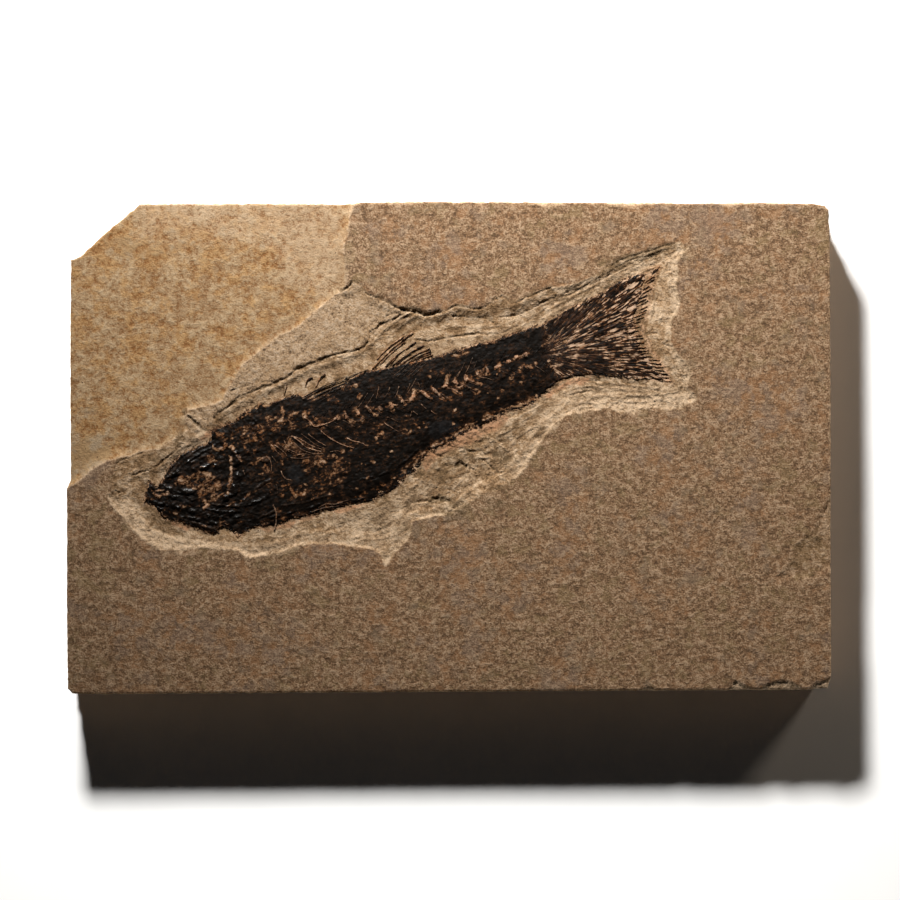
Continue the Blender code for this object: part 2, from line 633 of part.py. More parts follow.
if __name__ == "__main__":
    main()
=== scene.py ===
"""Looks of a knightia fossil fish in its slab of split limestone.

The slab lies on a pale floor and is seen from straight above. Outlines are drawn on a plan seen from
above, in plan units: U runs right and V runs down. Metres, +Z up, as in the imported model.
"""

import functools
import math

import bpy
import numpy as np
from bpy.props import FloatProperty, FloatVectorProperty, PointerProperty
from bpy.types import Operator, Panel, PropertyGroup
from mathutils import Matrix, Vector
from mathutils.geometry import delaunay_2d_cdt


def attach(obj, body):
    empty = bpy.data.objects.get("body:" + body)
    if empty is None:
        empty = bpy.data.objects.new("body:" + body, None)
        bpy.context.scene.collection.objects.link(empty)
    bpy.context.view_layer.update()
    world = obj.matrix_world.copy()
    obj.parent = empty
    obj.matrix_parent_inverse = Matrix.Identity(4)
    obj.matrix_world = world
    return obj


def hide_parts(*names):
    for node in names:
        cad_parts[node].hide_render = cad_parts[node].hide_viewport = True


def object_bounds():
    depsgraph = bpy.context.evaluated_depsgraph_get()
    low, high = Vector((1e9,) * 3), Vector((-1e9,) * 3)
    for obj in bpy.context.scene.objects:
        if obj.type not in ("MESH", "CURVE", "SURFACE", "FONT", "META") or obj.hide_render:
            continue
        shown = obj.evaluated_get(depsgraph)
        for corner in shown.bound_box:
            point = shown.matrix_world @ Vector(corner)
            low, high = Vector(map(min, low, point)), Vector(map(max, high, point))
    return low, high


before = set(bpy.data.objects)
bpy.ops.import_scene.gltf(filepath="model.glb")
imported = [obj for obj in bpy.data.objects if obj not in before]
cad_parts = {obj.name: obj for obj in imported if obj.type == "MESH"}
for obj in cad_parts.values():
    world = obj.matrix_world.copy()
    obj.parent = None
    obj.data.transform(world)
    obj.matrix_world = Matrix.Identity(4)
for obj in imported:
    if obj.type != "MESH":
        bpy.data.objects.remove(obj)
CAD_BOX = [list(map(float, corner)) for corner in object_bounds()]

bl_info = {
    "name": "Knightia fossil slab",
    "version": (1, 0, 0),
    "blender": (4, 5, 0),
    "location": "View3D > Sidebar > Fossil",
    "description": "Builds a fossil fish in split limestone",
    "category": "Object",
}

MM = 0.001
SEED = 7

# Level of the split face before any relief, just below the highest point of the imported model
FACE_LEVEL = CAD_BOX[1][2] - 0.08 * MM

# Steps of the raster that holds the fish's heights, and of the tiles that speed up distances
RASTER = 0.25 * MM
TILE = 6 * MM
TILE_RADIUS = TILE * math.sqrt(0.5)
TILE_ROW = 4096
LAST_TILES = {}

# Soft random fields: size of a table, start in it, share of each finer field, and gain of the sum
NOISE_CELLS = 256
NOISE_START = 61.7
NOISE_SHARE = 0.55
NOISE_GAIN = 1.6

# Heights of the stone's small relief
LAMINA = 0.085 * MM
LAMINA_LESS_IN_SWIRL = 0.045 * MM
THIN_LAMINA = 0.045 * MM
FLOW_LINE = 0.075 * MM
STREAK = 0.040 * MM
CRUMB = 0.090 * MM
FINE_CRUMB = 0.050 * MM
FOLD = 0.15 * MM
FOLD_PIT = 0.10 * MM
FACE_SWELL = 0.028 * MM
FACE_GRAIN = 0.020 * MM
TROUGH_GRAIN = 0.036 * MM
TROUGH_SWELL = 0.060 * MM
PLATEAU_GRAIN = 0.040 * MM
WORN_ARRIS = 0.28 * MM
FACE_PIT = 0.25 * MM

# Heights of the fish's small relief
FIBRE = 0.035 * MM
LUMP = 0.080 * MM
SWELL = 0.05 * MM
HEAD_LUMP = 0.12 * MM
HEAD_GRAIN = 0.06 * MM
TAIL_RISE = 0.13 * MM
TAIL_DASH = 0.045 * MM
BARE_BONE = 0.10 * MM

# Rings of the broken sides, from the split face down to the underside
SIDE_RINGS = 17

# Free rays at the end of the tail, and splinters along each margin
FREE_RAYS = 30
SPLINTERS = 190

# The plan
PLAN_CENTRE_U = 449.0
PLAN_CENTRE_V = 448.0
PLAN_LENGTH = 765.0
PICTURE_SIZE = 900.0
FISH_BOX = [(140, 545), (680, 255)]
TROUGH_ENDS = [(40, 500), (705, 500)]
SWIRL_FOOT = (493, 488)
HEAD_END = (262, 470)
SLIM_FROM = 420
FRINGE_FROM = 616

# Rows of the axis of the fish, further down: the first vertebra, and the root of the tail
FIRST_VERTEBRA = 3
TAIL_ROOT = 8

# The studio: the lamps are name, size, power, spread in degrees, place, aim, tint and what they light
FLOOR_LENGTH = 3.2
WORLD_STRENGTH = 0.010
CAMERA_LENS = 120.0
CAMERA_SENSOR = 36.0
KEY_AT = (-0.137, 0.481, 0.274)
WARM_WHITE = (1.0, 0.985, 0.955)
AMBER = (1.0, 0.84, 0.67)
LAMPS = [
    ("key", (0.10, 0.06), 1.10, 67.3, KEY_AT, (-0.0096, 0.229, 0.014), WARM_WHITE, "all"),
    ("floor_wash", (0.10, 0.06), 2.5, 90, KEY_AT, (0.03, -0.30, 0.0), WARM_WHITE, "floor"),
    ("side_glow", (0.10, 0.05), 0.70, 180, (0.40, 0.36, 0.12), (0.10, 0.0, 0.0), AMBER, "all"),
    ("low_left", (0.40, 0.016), 0.20, 180, (-0.36, -0.42, 0.010), (0.0, 0.0, 0.006), WARM_WHITE, "pieces"),
    ("low_right", (0.40, 0.016), 0.14, 180, (0.42, -0.36, 0.010), (0.0, 0.0, 0.006), WARM_WHITE, "pieces"),
]

# Outline of the slab, from the broken corner clockwise
SLAB_OUTLINE = [
    (69.9, 259.5), (80, 256), (88, 248), (100, 237), (112, 226), (121, 219.5), (130, 211), (133, 209.5),
    (139, 203.5), (250, 203), (352, 203.5), (360, 202), (430, 201.5), (560, 202), (620, 202.6),
    (700, 203), (760, 202.5), (815, 203.5), (825, 205.5), (829, 210), (830, 230), (830.5, 300),
    (831, 400), (831.2, 600), (831.5, 676), (828, 688.5), (800, 690), (700, 690.5), (600, 691),
    (450, 692), (300, 693), (200, 693.7), (100, 694.5), (72, 694), (67.3, 689), (66.5, 600),
    (66.5, 488), (70, 480), (69.5, 400), (69.5, 330), (70, 262),
]

# Edges where the brown layer and the yellow one end together
NORTH_EDGE = [
    (353, 208), (350, 215), (349, 225), (348, 236), (344, 244), (343, 252), (345, 265), (345, 282),
]
WEST_EDGE = [
    (120, 457, 2), (110, 460), (100, 464), (91, 470), (82, 478), (74, 484), (66, 489), (48, 500),
    (48, 190),
]

# Rims: a third number is the width of the wall below, and holds until the next one
BROWN_RIM = [
    (366, 190, 2), (358, 199), *NORTH_EDGE, (346, 288), (353, 281), (360, 285), (368, 293),
    (375, 297, 1.5), (382, 300), (390, 303), (398, 307), (405, 309), (412, 310), (420, 311), (425, 314),
    (430, 313), (440, 311), (448, 309), (455, 304), (463, 304), (470, 307), (478, 308), (485, 306),
    (490, 302), (494, 297), (501, 294), (508, 298), (512, 303.5), (518, 300), (525, 296.5),
    (533, 295, 2), (540, 290), (550, 286, 4), (560, 286, 5), (570, 285), (580, 281), (590, 277, 4),
    (600, 272, 3), (612, 264, 2), (622, 258), (630, 254), (640, 252, 1.5), (648, 250), (655, 248),
    (665, 244), (672, 243), (680, 241), (686, 246, 3), (691, 246, 6), (684, 254, 9), (679, 262, 10),
    (678, 275), (678, 290, 9), (680, 300), (678, 310, 8), (673, 322, 7), (671, 335, 5), (672, 345),
    (677, 350, 6), (679, 355, 7), (686, 361, 8), (690, 368, 7), (690, 388, 6), (694, 393, 8),
    (697, 400, 9), (687, 405, 12), (680, 409.5, 13), (665, 410, 14), (648, 409.5), (640, 412, 15),
    (634, 415.5), (630, 413, 14), (622, 413), (615, 411, 13), (610, 409, 12), (600, 410, 11),
    (590, 410, 9), (585, 414, 8), (575, 415, 7), (566, 417, 6), (558, 421), (553, 427), (550, 432),
    (545, 437, 5), (538, 445, 6), (533, 455, 7), (528, 465, 9), (521, 475, 14), (515, 480, 20),
    (508, 487, 28), (496, 492, 30), (482, 497, 26), (472, 502, 16), (464, 507, 8), (452, 514, 5),
    (443, 517), (435, 517, 4), (422, 520), (412, 523, 5), (412, 532), (410, 538), (403, 546, 6),
    (396, 553, 5), (391, 559), (385, 566), (381, 557), (376, 551), (355, 547), (330, 544), (310, 545),
    (290, 548, 6), (280, 553, 7), (268, 556, 8), (258, 557, 9), (250, 559), (244, 556, 8),
    (238, 551, 7), (228, 550), (215, 548.5), (200, 548, 8), (185, 550, 9), (166, 551, 12), (160, 550),
    (152, 546, 13), (147, 542), (140, 537), (133, 530), (127, 524), (122, 518, 12), (115, 512, 10),
    (110, 505, 8), (108, 497, 6), (112, 487, 4), (113, 475, 3), (116, 468), *WEST_EDGE,
]
TAN_RIM = [
    (358, 190, 2), *NORTH_EDGE, (344, 289), (335, 295), (325, 303), (318, 309), (308, 317), (300, 325),
    (290, 331), (280, 335), (270, 343), (262, 349), (252, 357), (241, 366), (236, 377), (229, 387),
    (222, 400), (212, 405), (200, 407), (188, 410), (184, 414), (185, 420), (189, 428), (184, 433),
    (176, 437), (168, 443), (158, 449), (148, 450), (138, 452), (130, 456), *WEST_EDGE,
]
TROUGH_RIM = [
    (203, 430, 2), (208, 425), (215, 417), (225, 408), (240, 398), (260, 389), (275, 383), (290, 376),
    (300, 369), (320, 362), (340, 355), (355, 350), (363, 346), (368, 340), (371, 333), (380, 324),
    (392, 320), (405, 315), (414, 314), (425, 318), (445, 314), (455, 309), (478, 312), (500, 306),
    (512, 308), (540, 298), (560, 292, 3), (590, 281), (610, 271), (640, 258, 2), (662, 252),
    (674, 253, 3), (668, 268), (668, 290), (667, 305), (663, 322), (663, 338), (668, 349), (674, 360),
    (681, 372), (681, 385), (672, 392, 4), (660, 395), (634, 396), (610, 394), (590, 399), (575, 403),
    (560, 408), (548, 418), (538, 428), (528, 442, 5), (520, 454), (508, 470, 6), (492, 480),
    (474, 488), (458, 500, 5), (438, 508), (418, 511), (404, 518), (399, 530, 4), (395, 540),
    (385, 548, 3), (374, 541), (350, 536, 4), (325, 532), (300, 534), (280, 541), (262, 545),
    (248, 548), (236, 541), (215, 538), (190, 539), (172, 538, 5), (158, 533), (142, 523), (129, 511),
    (121, 500, 4), (119, 492, 3), (121, 481, 2), (128, 472), (140, 471), (150, 467), (160, 462),
    (170, 454), (182, 444), (190, 440), (193, 436), (191, 429),
]
FLOOR_RIM = [
    (196, 437, 2), (204, 427), (215, 420), (228, 411), (240, 404), (262, 392), (280, 384), (289, 378),
    (305, 373), (320, 366), (335, 363), (350, 358), (364, 351), (372, 345), (380, 334), (390, 327),
    (400, 322), (412, 320), (418, 322), (421, 330), (424, 337), (445, 338), (460, 336), (472, 333),
    (485, 333), (500, 332), (515, 326), (530, 318), (545, 311), (560, 304), (580, 294), (600, 284),
    (620, 274), (640, 263), (656, 258), (667, 259), (667, 270), (662, 285), (659, 300), (655, 315),
    (654, 328), (659, 340), (664, 350), (672, 363), (679, 377), (681, 386), (672, 389, 3), (645, 386),
    (615, 384), (590, 386), (570, 390), (552, 400), (535, 410), (516, 418), (502, 426), (494, 436),
    (480, 443), (462, 452), (446, 460), (434, 473), (416, 487), (400, 498), (382, 505), (360, 510),
    (336, 516), (310, 524), (284, 531), (260, 534), (243, 541), (232, 539), (222, 535), (210, 540),
    (198, 536), (185, 533), (165, 527), (150, 516), (139, 507), (137, 496), (141, 481), (154, 474),
    (163, 462), (178, 449, 2), (188, 442),
]
FLAKE_RIM = [
    (845, 496, 2), (829, 500), (825, 511), (822, 520), (817, 538), (806, 535, 4), (800, 541, 6),
    (793, 547, 7), (793, 560, 8), (784, 569), (775, 576), (762, 590, 6), (770, 588, 3), (790, 580),
    (805, 577), (822, 573), (845, 566),
]

# Chips on the edges: depth in millimetres and outline
EDGE_CHIPS = [
    (0.42, [(728, 705, 2), (729, 690), (733, 683, 1.5), (737, 681), (742, 684), (748, 686), (755, 689),
        (758, 705)]),
    (0.40, [(759, 705, 2), (760, 690, 1.5), (765, 685), (774, 681.5), (784, 680.5), (793, 682),
        (800, 686), (803, 690), (806, 705)]),
    (0.38, [(810, 705, 2), (811, 688, 1.5), (815, 684), (822, 681), (828, 679), (845, 676),
        (845, 705)]),
    (0.35, [(640, 705, 2), (641, 689.5, 1.5), (645, 687), (651, 687), (656, 690), (657, 705)]),
    (0.25, [(600, 188, 3), (602, 203), (612, 206), (622, 208), (634, 207.5), (646, 203), (648, 188)]),
    (0.22, [(716, 188, 3), (718, 203), (725, 207), (736, 206), (744, 203), (746, 188)]),
    (0.25, [(528, 188, 3), (531, 203), (545, 207), (558, 206), (568, 202), (570, 188)]),
    (0.25, [(452, 188, 3), (454, 202), (460, 206), (467, 202), (468, 188)]),
]

# Area of the pale plateau between the yellow layer and the trough
PLATEAU = [
    (344, 289), (353, 282), (362, 287), (374, 297), (390, 303), (412, 311), (405, 316), (392, 322),
    (380, 326), (371, 334), (363, 346), (345, 353), (320, 362), (300, 369), (275, 383), (240, 398),
    (215, 416), (203, 430), (196, 437), (190, 430), (185, 421), (184, 414), (212, 405), (222, 400),
    (229, 387), (236, 377), (241, 366), (252, 357), (270, 343), (290, 331), (308, 317), (325, 303),
]

# Cracks: half width in plan units, depth in millimetres, and path
CRACKS = [
    (1.2, 0.40, [(352, 283), (346, 289), (341, 291)]),
    (0.7, 0.25, [(353, 281), (360, 285), (364, 287)]),
    (0.8, 0.35, [(366, 293), (373, 297), (381, 299), (388, 302), (395, 307), (404, 310)]),
    (1.9, 0.50, [(402, 309.5), (412, 311.5), (418, 312), (425, 315), (432, 314), (440, 311.5)]),
    (1.1, 0.28, [(214, 418), (218, 413), (224, 409), (232, 403.5), (240, 396.5), (250, 392.5),
        (258, 389)]),
    (1.5, 0.34, [(256, 389.5), (268, 386), (278, 381.5), (288, 376.5), (294, 370.5), (300, 367.5)]),
    (1.8, 0.38, [(298, 368), (310, 364), (320, 360.5), (328, 357), (338, 354), (350, 352), (358, 350)]),
    (1.0, 0.26, [(358, 350), (364, 346), (368, 342)]),
    (1.1, 0.28, [(370, 332), (376, 328.5), (380, 324), (390, 320.5), (398, 317), (405, 313.5),
        (411, 311)]),
    (0.6, 0.22, [(228, 392), (236, 389), (243, 387), (250, 385)]),
    (0.6, 0.20, [(262, 382), (267, 381), (273, 382)]),
    (0.8, 0.18, [(446, 311), (455, 306), (470, 308), (484, 308), (490, 303), (501, 296)]),
    (0.7, 0.14, [(502, 295), (512, 304), (525, 298), (540, 292), (553, 287), (572, 281), (590, 274)]),
    (0.6, 0.22, [(387, 316), (396, 313.5), (404, 312)]),
    (0.6, 0.22, [(453, 316), (468, 317), (482, 318), (493, 322)]),
    (0.7, 0.25, [(416, 340), (430, 341), (446, 338), (460, 336), (478, 333)]),
    (0.5, 0.16, [(480, 334), (500, 333), (520, 325), (546, 309), (570, 295), (590, 286), (612, 273)]),
    (0.5, 0.16, [(500, 318), (522, 313), (548, 300), (566, 296), (588, 284), (610, 272)]),
    (0.5, 0.14, [(540, 303), (562, 294), (584, 287), (606, 277), (628, 265), (648, 256)]),
    (0.8, 0.15, [(606, 268), (622, 260), (636, 255), (650, 251), (664, 246), (678, 242)]),
    (0.7, 0.13, [(616, 268), (634, 259), (650, 256), (664, 250), (674, 250)]),
    (0.7, 0.14, [(640, 262), (652, 257), (662, 253)]),
    (1.0, 0.35, [(609, 260), (611, 257), (613, 260)]),
    (1.5, 0.40, [(189, 417), (195, 423), (203, 430)]),
    (2.6, 0.60, [(182, 404), (184, 408), (184, 413)]),
    (0.7, 0.22, [(128, 459), (134, 456), (142, 453)]),
    (0.8, 0.25, [(113, 469), (118, 463), (126, 458)]),
    (0.8, 0.28, [(132, 475), (142, 472), (153, 468), (163, 461)]),
    (0.7, 0.22, [(160, 464), (172, 453), (180, 447)]),
    (1.0, 0.22, [(115, 491), (118, 493), (122, 492)]),
    (0.8, 0.30, [(829, 502), (825, 511), (820, 522), (817, 536), (818, 550)]),
    (0.5, 0.14, [(790, 581), (805, 577), (820, 573)]),
    (2.0, 0.40, [(457, 466), (461, 464), (466, 467)]),
    (1.2, 0.34, [(471, 468.5), (477, 470)]),
    (0.8, 0.30, [(483, 459), (489, 465), (495, 470), (500, 473), (504, 472), (507, 468)]),
    (2.2, 0.34, [(433, 499), (440, 500), (449, 501)]),
    (1.2, 0.30, [(463, 513), (459, 518), (451, 522), (445, 525)]),
    (0.7, 0.25, [(430, 450), (436, 455), (443, 457)]),
    (0.6, 0.20, [(448, 446), (460, 448), (470, 451), (482, 452), (488, 456)]),
    (0.5, 0.16, [(455, 431), (464, 436), (474, 441), (484, 443), (492, 441)]),
    (0.5, 0.14, [(450, 439), (460, 443), (470, 445)]),
    (0.7, 0.20, [(416, 502), (428, 501), (436, 503)]),
    (0.6, 0.22, [(462, 452), (472, 452), (482, 455)]),
    (0.5, 0.16, [(500, 424), (512, 416), (530, 409), (548, 399)]),
    (0.5, 0.14, [(560, 391), (584, 385), (610, 386), (640, 388), (662, 391)]),
    (0.5, 0.14, [(566, 397), (590, 391), (614, 391), (640, 392)]),
    (0.5, 0.12, [(586, 381), (610, 381), (636, 384), (656, 386)]),
    (0.6, 0.18, [(648, 334), (656, 333), (660, 335)]),
    (0.6, 0.18, [(672, 312), (676, 312)]),
    (0.7, 0.20, [(664, 344), (670, 347), (676, 345)]),
]

# Raised edges of single laminae: half width in plan units, height in millimetres, and path
RIDGES = [
    (2.0, 0.12, [(559, 422), (551, 431), (543, 437), (540, 442), (535, 451), (531, 458), (525, 467),
        (519, 475)]),
    (1.8, 0.16, [(488, 437), (494, 440), (500, 446), (508, 450), (514, 455), (518, 461)]),
    (1.8, 0.14, [(510, 447), (515, 440), (522, 434), (532, 428), (541, 424)]),
    (1.8, 0.12, [(395, 494), (403, 491.5), (411, 487.5), (424, 481)]),
    (1.4, 0.07, [(412, 506), (420, 502.5), (430, 505), (441, 507.5), (451, 507), (460, 499)]),
    (1.2, 0.06, [(438, 510), (448, 511.5), (458, 509.5), (465, 504)]),
    (1.4, 0.06, [(446, 456), (458, 459), (470, 459), (484, 457), (496, 459)]),
    (1.2, 0.05, [(424, 489), (438, 487), (452, 489), (464, 494)]),
    (1.2, 0.06, [(508, 425), (517, 418), (528, 412), (540, 405), (550, 399)]),
    (1.1, 0.05, [(506, 431), (518, 423), (532, 416), (546, 408)]),
    (3.6, 0.07, [(433, 450.5), (440, 452.5), (446, 450)]),
    (4.0, 0.06, [(471, 431), (477, 433), (483, 435)]),
    (2.2, 0.09, [(546, 318), (560, 309), (576, 301), (590, 295), (604, 288), (614, 281), (626, 273),
        (640, 267), (656, 261)]),
    (5.0, 0.08, [(602, 404), (620, 406), (642, 405), (666, 402), (686, 397)]),
    (1.8, 0.14, [(389, 556), (396, 549), (404, 541), (409, 533), (412, 523)]),
    (2.0, 0.18, [(411, 520), (424, 519), (434, 516), (437, 514), (442, 517), (449, 518), (457, 514),
        (462, 509)]),
    (2.0, 0.14, [(420, 502), (441, 507), (453, 510), (461, 505), (465, 498)]),
    (2.6, 0.12, [(111, 504), (132, 529), (151, 545), (166, 552), (182, 548), (215, 547), (240, 552),
        (249, 559), (263, 556), (287, 552), (299, 547)]),
    (2.4, 0.20, [(164, 456), (176, 450), (189, 444)]),
    (2.4, 0.14, [(186, 413), (196, 417), (206, 423)]),
    (2.0, 0.12, [(132, 471), (146, 465), (158, 459), (170, 450), (182, 440)]),
    (1.6, 0.08, [(120, 462), (136, 456), (152, 453), (168, 446)]),
    (7.0, 0.30, [(197, 439), (200, 438), (204, 436)]),
    (2.2, 0.16, [(412, 311), (402, 317), (390, 325), (380, 334), (372, 344)]),
    (1.8, 0.12, [(415, 316), (405, 323), (395, 330), (386, 338)]),
    (1.6, 0.10, [(418, 321), (412, 326), (404, 333)]),
    (1.8, 0.10, [(446, 325), (470, 326), (496, 326), (516, 319)]),
    (1.8, 0.10, [(560, 300), (590, 288), (620, 275), (650, 260)]),
    (2.0, 0.12, [(668, 262), (661, 276), (657, 292), (653, 306), (650, 320)]),
    (1.8, 0.12, [(676, 262), (670, 275), (668, 290), (664, 305), (661, 320)]),
    (2.0, 0.12, [(672, 396), (654, 400), (634, 402), (612, 402), (592, 404)]),
    (1.8, 0.10, [(684, 390), (664, 394), (640, 395), (614, 394), (592, 396), (572, 402)]),
    (1.8, 0.10, [(560, 412), (548, 420), (538, 430), (530, 440)]),
    (1.8, 0.10, [(128, 500), (134, 512), (146, 524), (160, 534), (176, 540)]),
    (1.8, 0.10, [(118, 496), (124, 510), (136, 524), (150, 535), (166, 543)]),
]

# Where the stone is freshly broken and pale, and where pale is painted as light on slopes that face the
# lamp: strength and outline
PALE_AND_PAINTED_LIGHT_PATCHES = [
    (0.22, [(545, 322), (562, 306), (590, 288), (625, 268), (650, 256), (676, 250), (678, 258),
        (655, 268), (636, 276), (612, 288), (590, 300), (565, 314)]),
    (0.36, [(420, 338), (470, 334), (520, 324), (540, 320), (500, 340), (440, 358), (400, 366),
        (380, 372), (380, 350)]),
    (0.20, [(662, 262), (690, 248), (678, 300), (676, 330), (664, 336), (656, 300)]),
    (1.50, [(586, 399), (640, 399), (692, 390), (699, 401), (682, 411), (634, 417), (598, 413)]),
    (0.68, [(560, 394), (600, 383), (670, 388), (684, 394), (600, 400), (556, 414), (530, 440),
        (524, 432)]),
    (0.30, [(212, 416), (300, 372), (360, 350), (372, 358), (320, 382), (262, 402), (222, 424)]),
    (1.10, [(156, 473), (171, 453), (190, 437), (200, 433), (200, 443), (184, 455), (170, 470),
        (163, 480)]),
    (1.20, [(107, 498), (120, 500), (136, 520), (156, 531), (190, 539), (222, 543), (222, 549),
        (180, 552), (148, 547), (124, 528)]),
    (0.52, [(150, 536), (250, 544), (320, 532), (330, 548), (252, 562), (160, 556), (108, 510),
        (106, 496), (120, 504), (134, 522)]),
    (0.50, [(330, 516), (380, 506), (420, 484), (436, 486), (412, 516), (398, 545), (384, 556),
        (340, 538)]),
    (1.40, [(190, 437), (196, 431), (204, 428), (210, 433), (208, 441), (198, 446), (191, 444)]),
    (0.80, [(430, 448), (438, 444), (447, 448), (446, 455), (434, 455)]),
    (0.80, [(467, 429), (482, 426), (489, 435), (478, 440), (468, 437)]),
    (0.55, [(487, 421), (498, 414), (508, 412), (507, 419), (497, 428), (487, 428)]),
]

# Stains on the stone beside the fish
RUST_STAINS = [
    [(420, 464), (426, 450), (444, 440), (462, 430), (480, 422), (494, 416), (506, 411), (510, 419),
        (500, 430), (484, 437), (468, 446), (450, 451), (436, 460), (426, 472)],
    [(196, 441), (206, 431), (222, 422), (226, 426), (214, 434), (204, 442)],
    [(262, 529), (280, 524), (300, 518), (320, 512), (320, 517), (296, 524), (268, 533)],
    [(330, 511), (345, 506), (360, 502), (372, 502), (360, 509), (338, 515)],
    [(545, 395), (556, 386), (572, 378), (590, 377), (590, 381), (566, 387), (550, 397)],
    [(496, 340), (512, 333), (524, 329), (520, 334), (504, 340)],
    [(168, 519), (180, 523), (192, 528), (186, 531), (172, 525)],
]
PALE_CLOUDS = [
    [(120, 180), (350, 180), (350, 290), (322, 310), (286, 286), (270, 250), (200, 238), (140, 240)],
]
# Dark patches laid in the olive tone: some are painted shade, on the shaded side of a ridge and below the
# brown rim by the tail; the rest are darker stone
SHADE_AND_DARK_PATCHES = [
    [(490, 448), (504, 450), (514, 458), (514, 466), (500, 468), (490, 460)],
    [(428, 497), (438, 494), (452, 496), (455, 502), (442, 505), (428, 502)],
    [(174, 450), (180, 443), (184, 432), (182, 427), (172, 440), (160, 451), (146, 461), (156, 465)],
    [(430, 512), (446, 504), (462, 500), (470, 508), (450, 520), (436, 520)],
    [(600, 264), (630, 253), (662, 244), (676, 242), (676, 250), (650, 258), (622, 268)],
    [(484, 499), (500, 498), (506, 505), (494, 509), (484, 506)],
    [(446, 518), (458, 515), (466, 510), (466, 516), (454, 523), (446, 523)],
]

# The fish, back from snout to tail, tail margin, and belly from tail to snout
FISH_BACK = [
    (150, 482), (153, 486), (157, 487), (160, 484), (164, 479), (167, 473), (170, 467), (175, 460),
    (181, 455), (188, 451), (194, 449.5), (200, 447), (206, 445), (211, 441), (211, 434), (214, 429),
    (224, 427), (228, 424), (236, 422), (240, 416), (247, 411), (256, 409), (260, 404), (266, 408),
    (272, 404), (280, 400), (290, 397), (300, 395), (306, 398.5), (313, 400), (321, 396), (331, 391),
    (341, 386.5), (351, 379), (360, 374), (370, 371), (385, 369), (395, 366), (405, 364), (420, 361),
    (430, 359), (440, 357), (450, 353), (462, 350), (475, 345), (487, 343), (497, 341), (505, 337),
    (515, 334), (525, 330), (535, 327), (545, 325), (550, 321), (560, 316), (567, 311), (575, 306),
    (583, 304), (588, 300), (595, 297), (603, 294), (610, 288), (618, 283), (628, 278), (638, 275),
]
FILM_TAIL = [
    (646, 272), (645, 279), (641, 287), (643, 294), (638, 301), (637, 309), (633, 317), (635, 326),
    (634, 334), (639, 343), (642, 352), (650, 360), (653, 368), (661, 376), (664, 381),
]
FISH_BELLY = [
    (655, 379), (645, 379), (630, 378), (615, 376), (600, 375), (585, 374), (572, 376), (563, 379),
    (555, 383), (548, 389), (540, 396), (533, 402), (525, 406), (517, 409), (510, 410), (503, 413),
    (495, 418), (487, 422), (480, 427), (470, 429), (462, 432), (455, 438), (447, 443), (438, 447),
    (430, 451), (424, 457), (418, 464), (415, 470), (408, 474), (401, 481), (395, 488), (385, 493),
    (375, 497), (371, 501), (362, 500), (352, 503), (342, 506), (333, 509), (325, 509), (315, 514),
    (305, 515), (298, 517), (290, 519), (282, 523), (272, 525), (262, 526), (252, 527), (246, 529),
    (241, 535), (238, 536), (233, 532), (229, 529), (224, 526), (219, 527), (216, 532), (211, 533),
    (204, 531), (197, 527), (190, 526), (183, 522), (175, 521), (168, 519), (162, 516), (158, 511),
    (155, 506), (150, 503), (147, 504), (144.5, 501), (146, 494), (147, 487),
]
TAIL_TIPS = [
    (660, 266), (656, 275), (654, 280), (653, 288), (652, 294), (650, 301), (649, 309), (646, 317),
    (644, 325), (645, 333), (649, 341), (651, 350), (657, 356), (662, 364), (667, 371), (670, 377),
    (673, 383),
]
TAIL_HEEL = (536, 356)
AXIS = [(146, 497), (190, 482), (240, 456), (309, 424), (370, 409), (412, 398), (457, 382), (500, 366),
        (548, 358), (600, 345), (672, 322)]

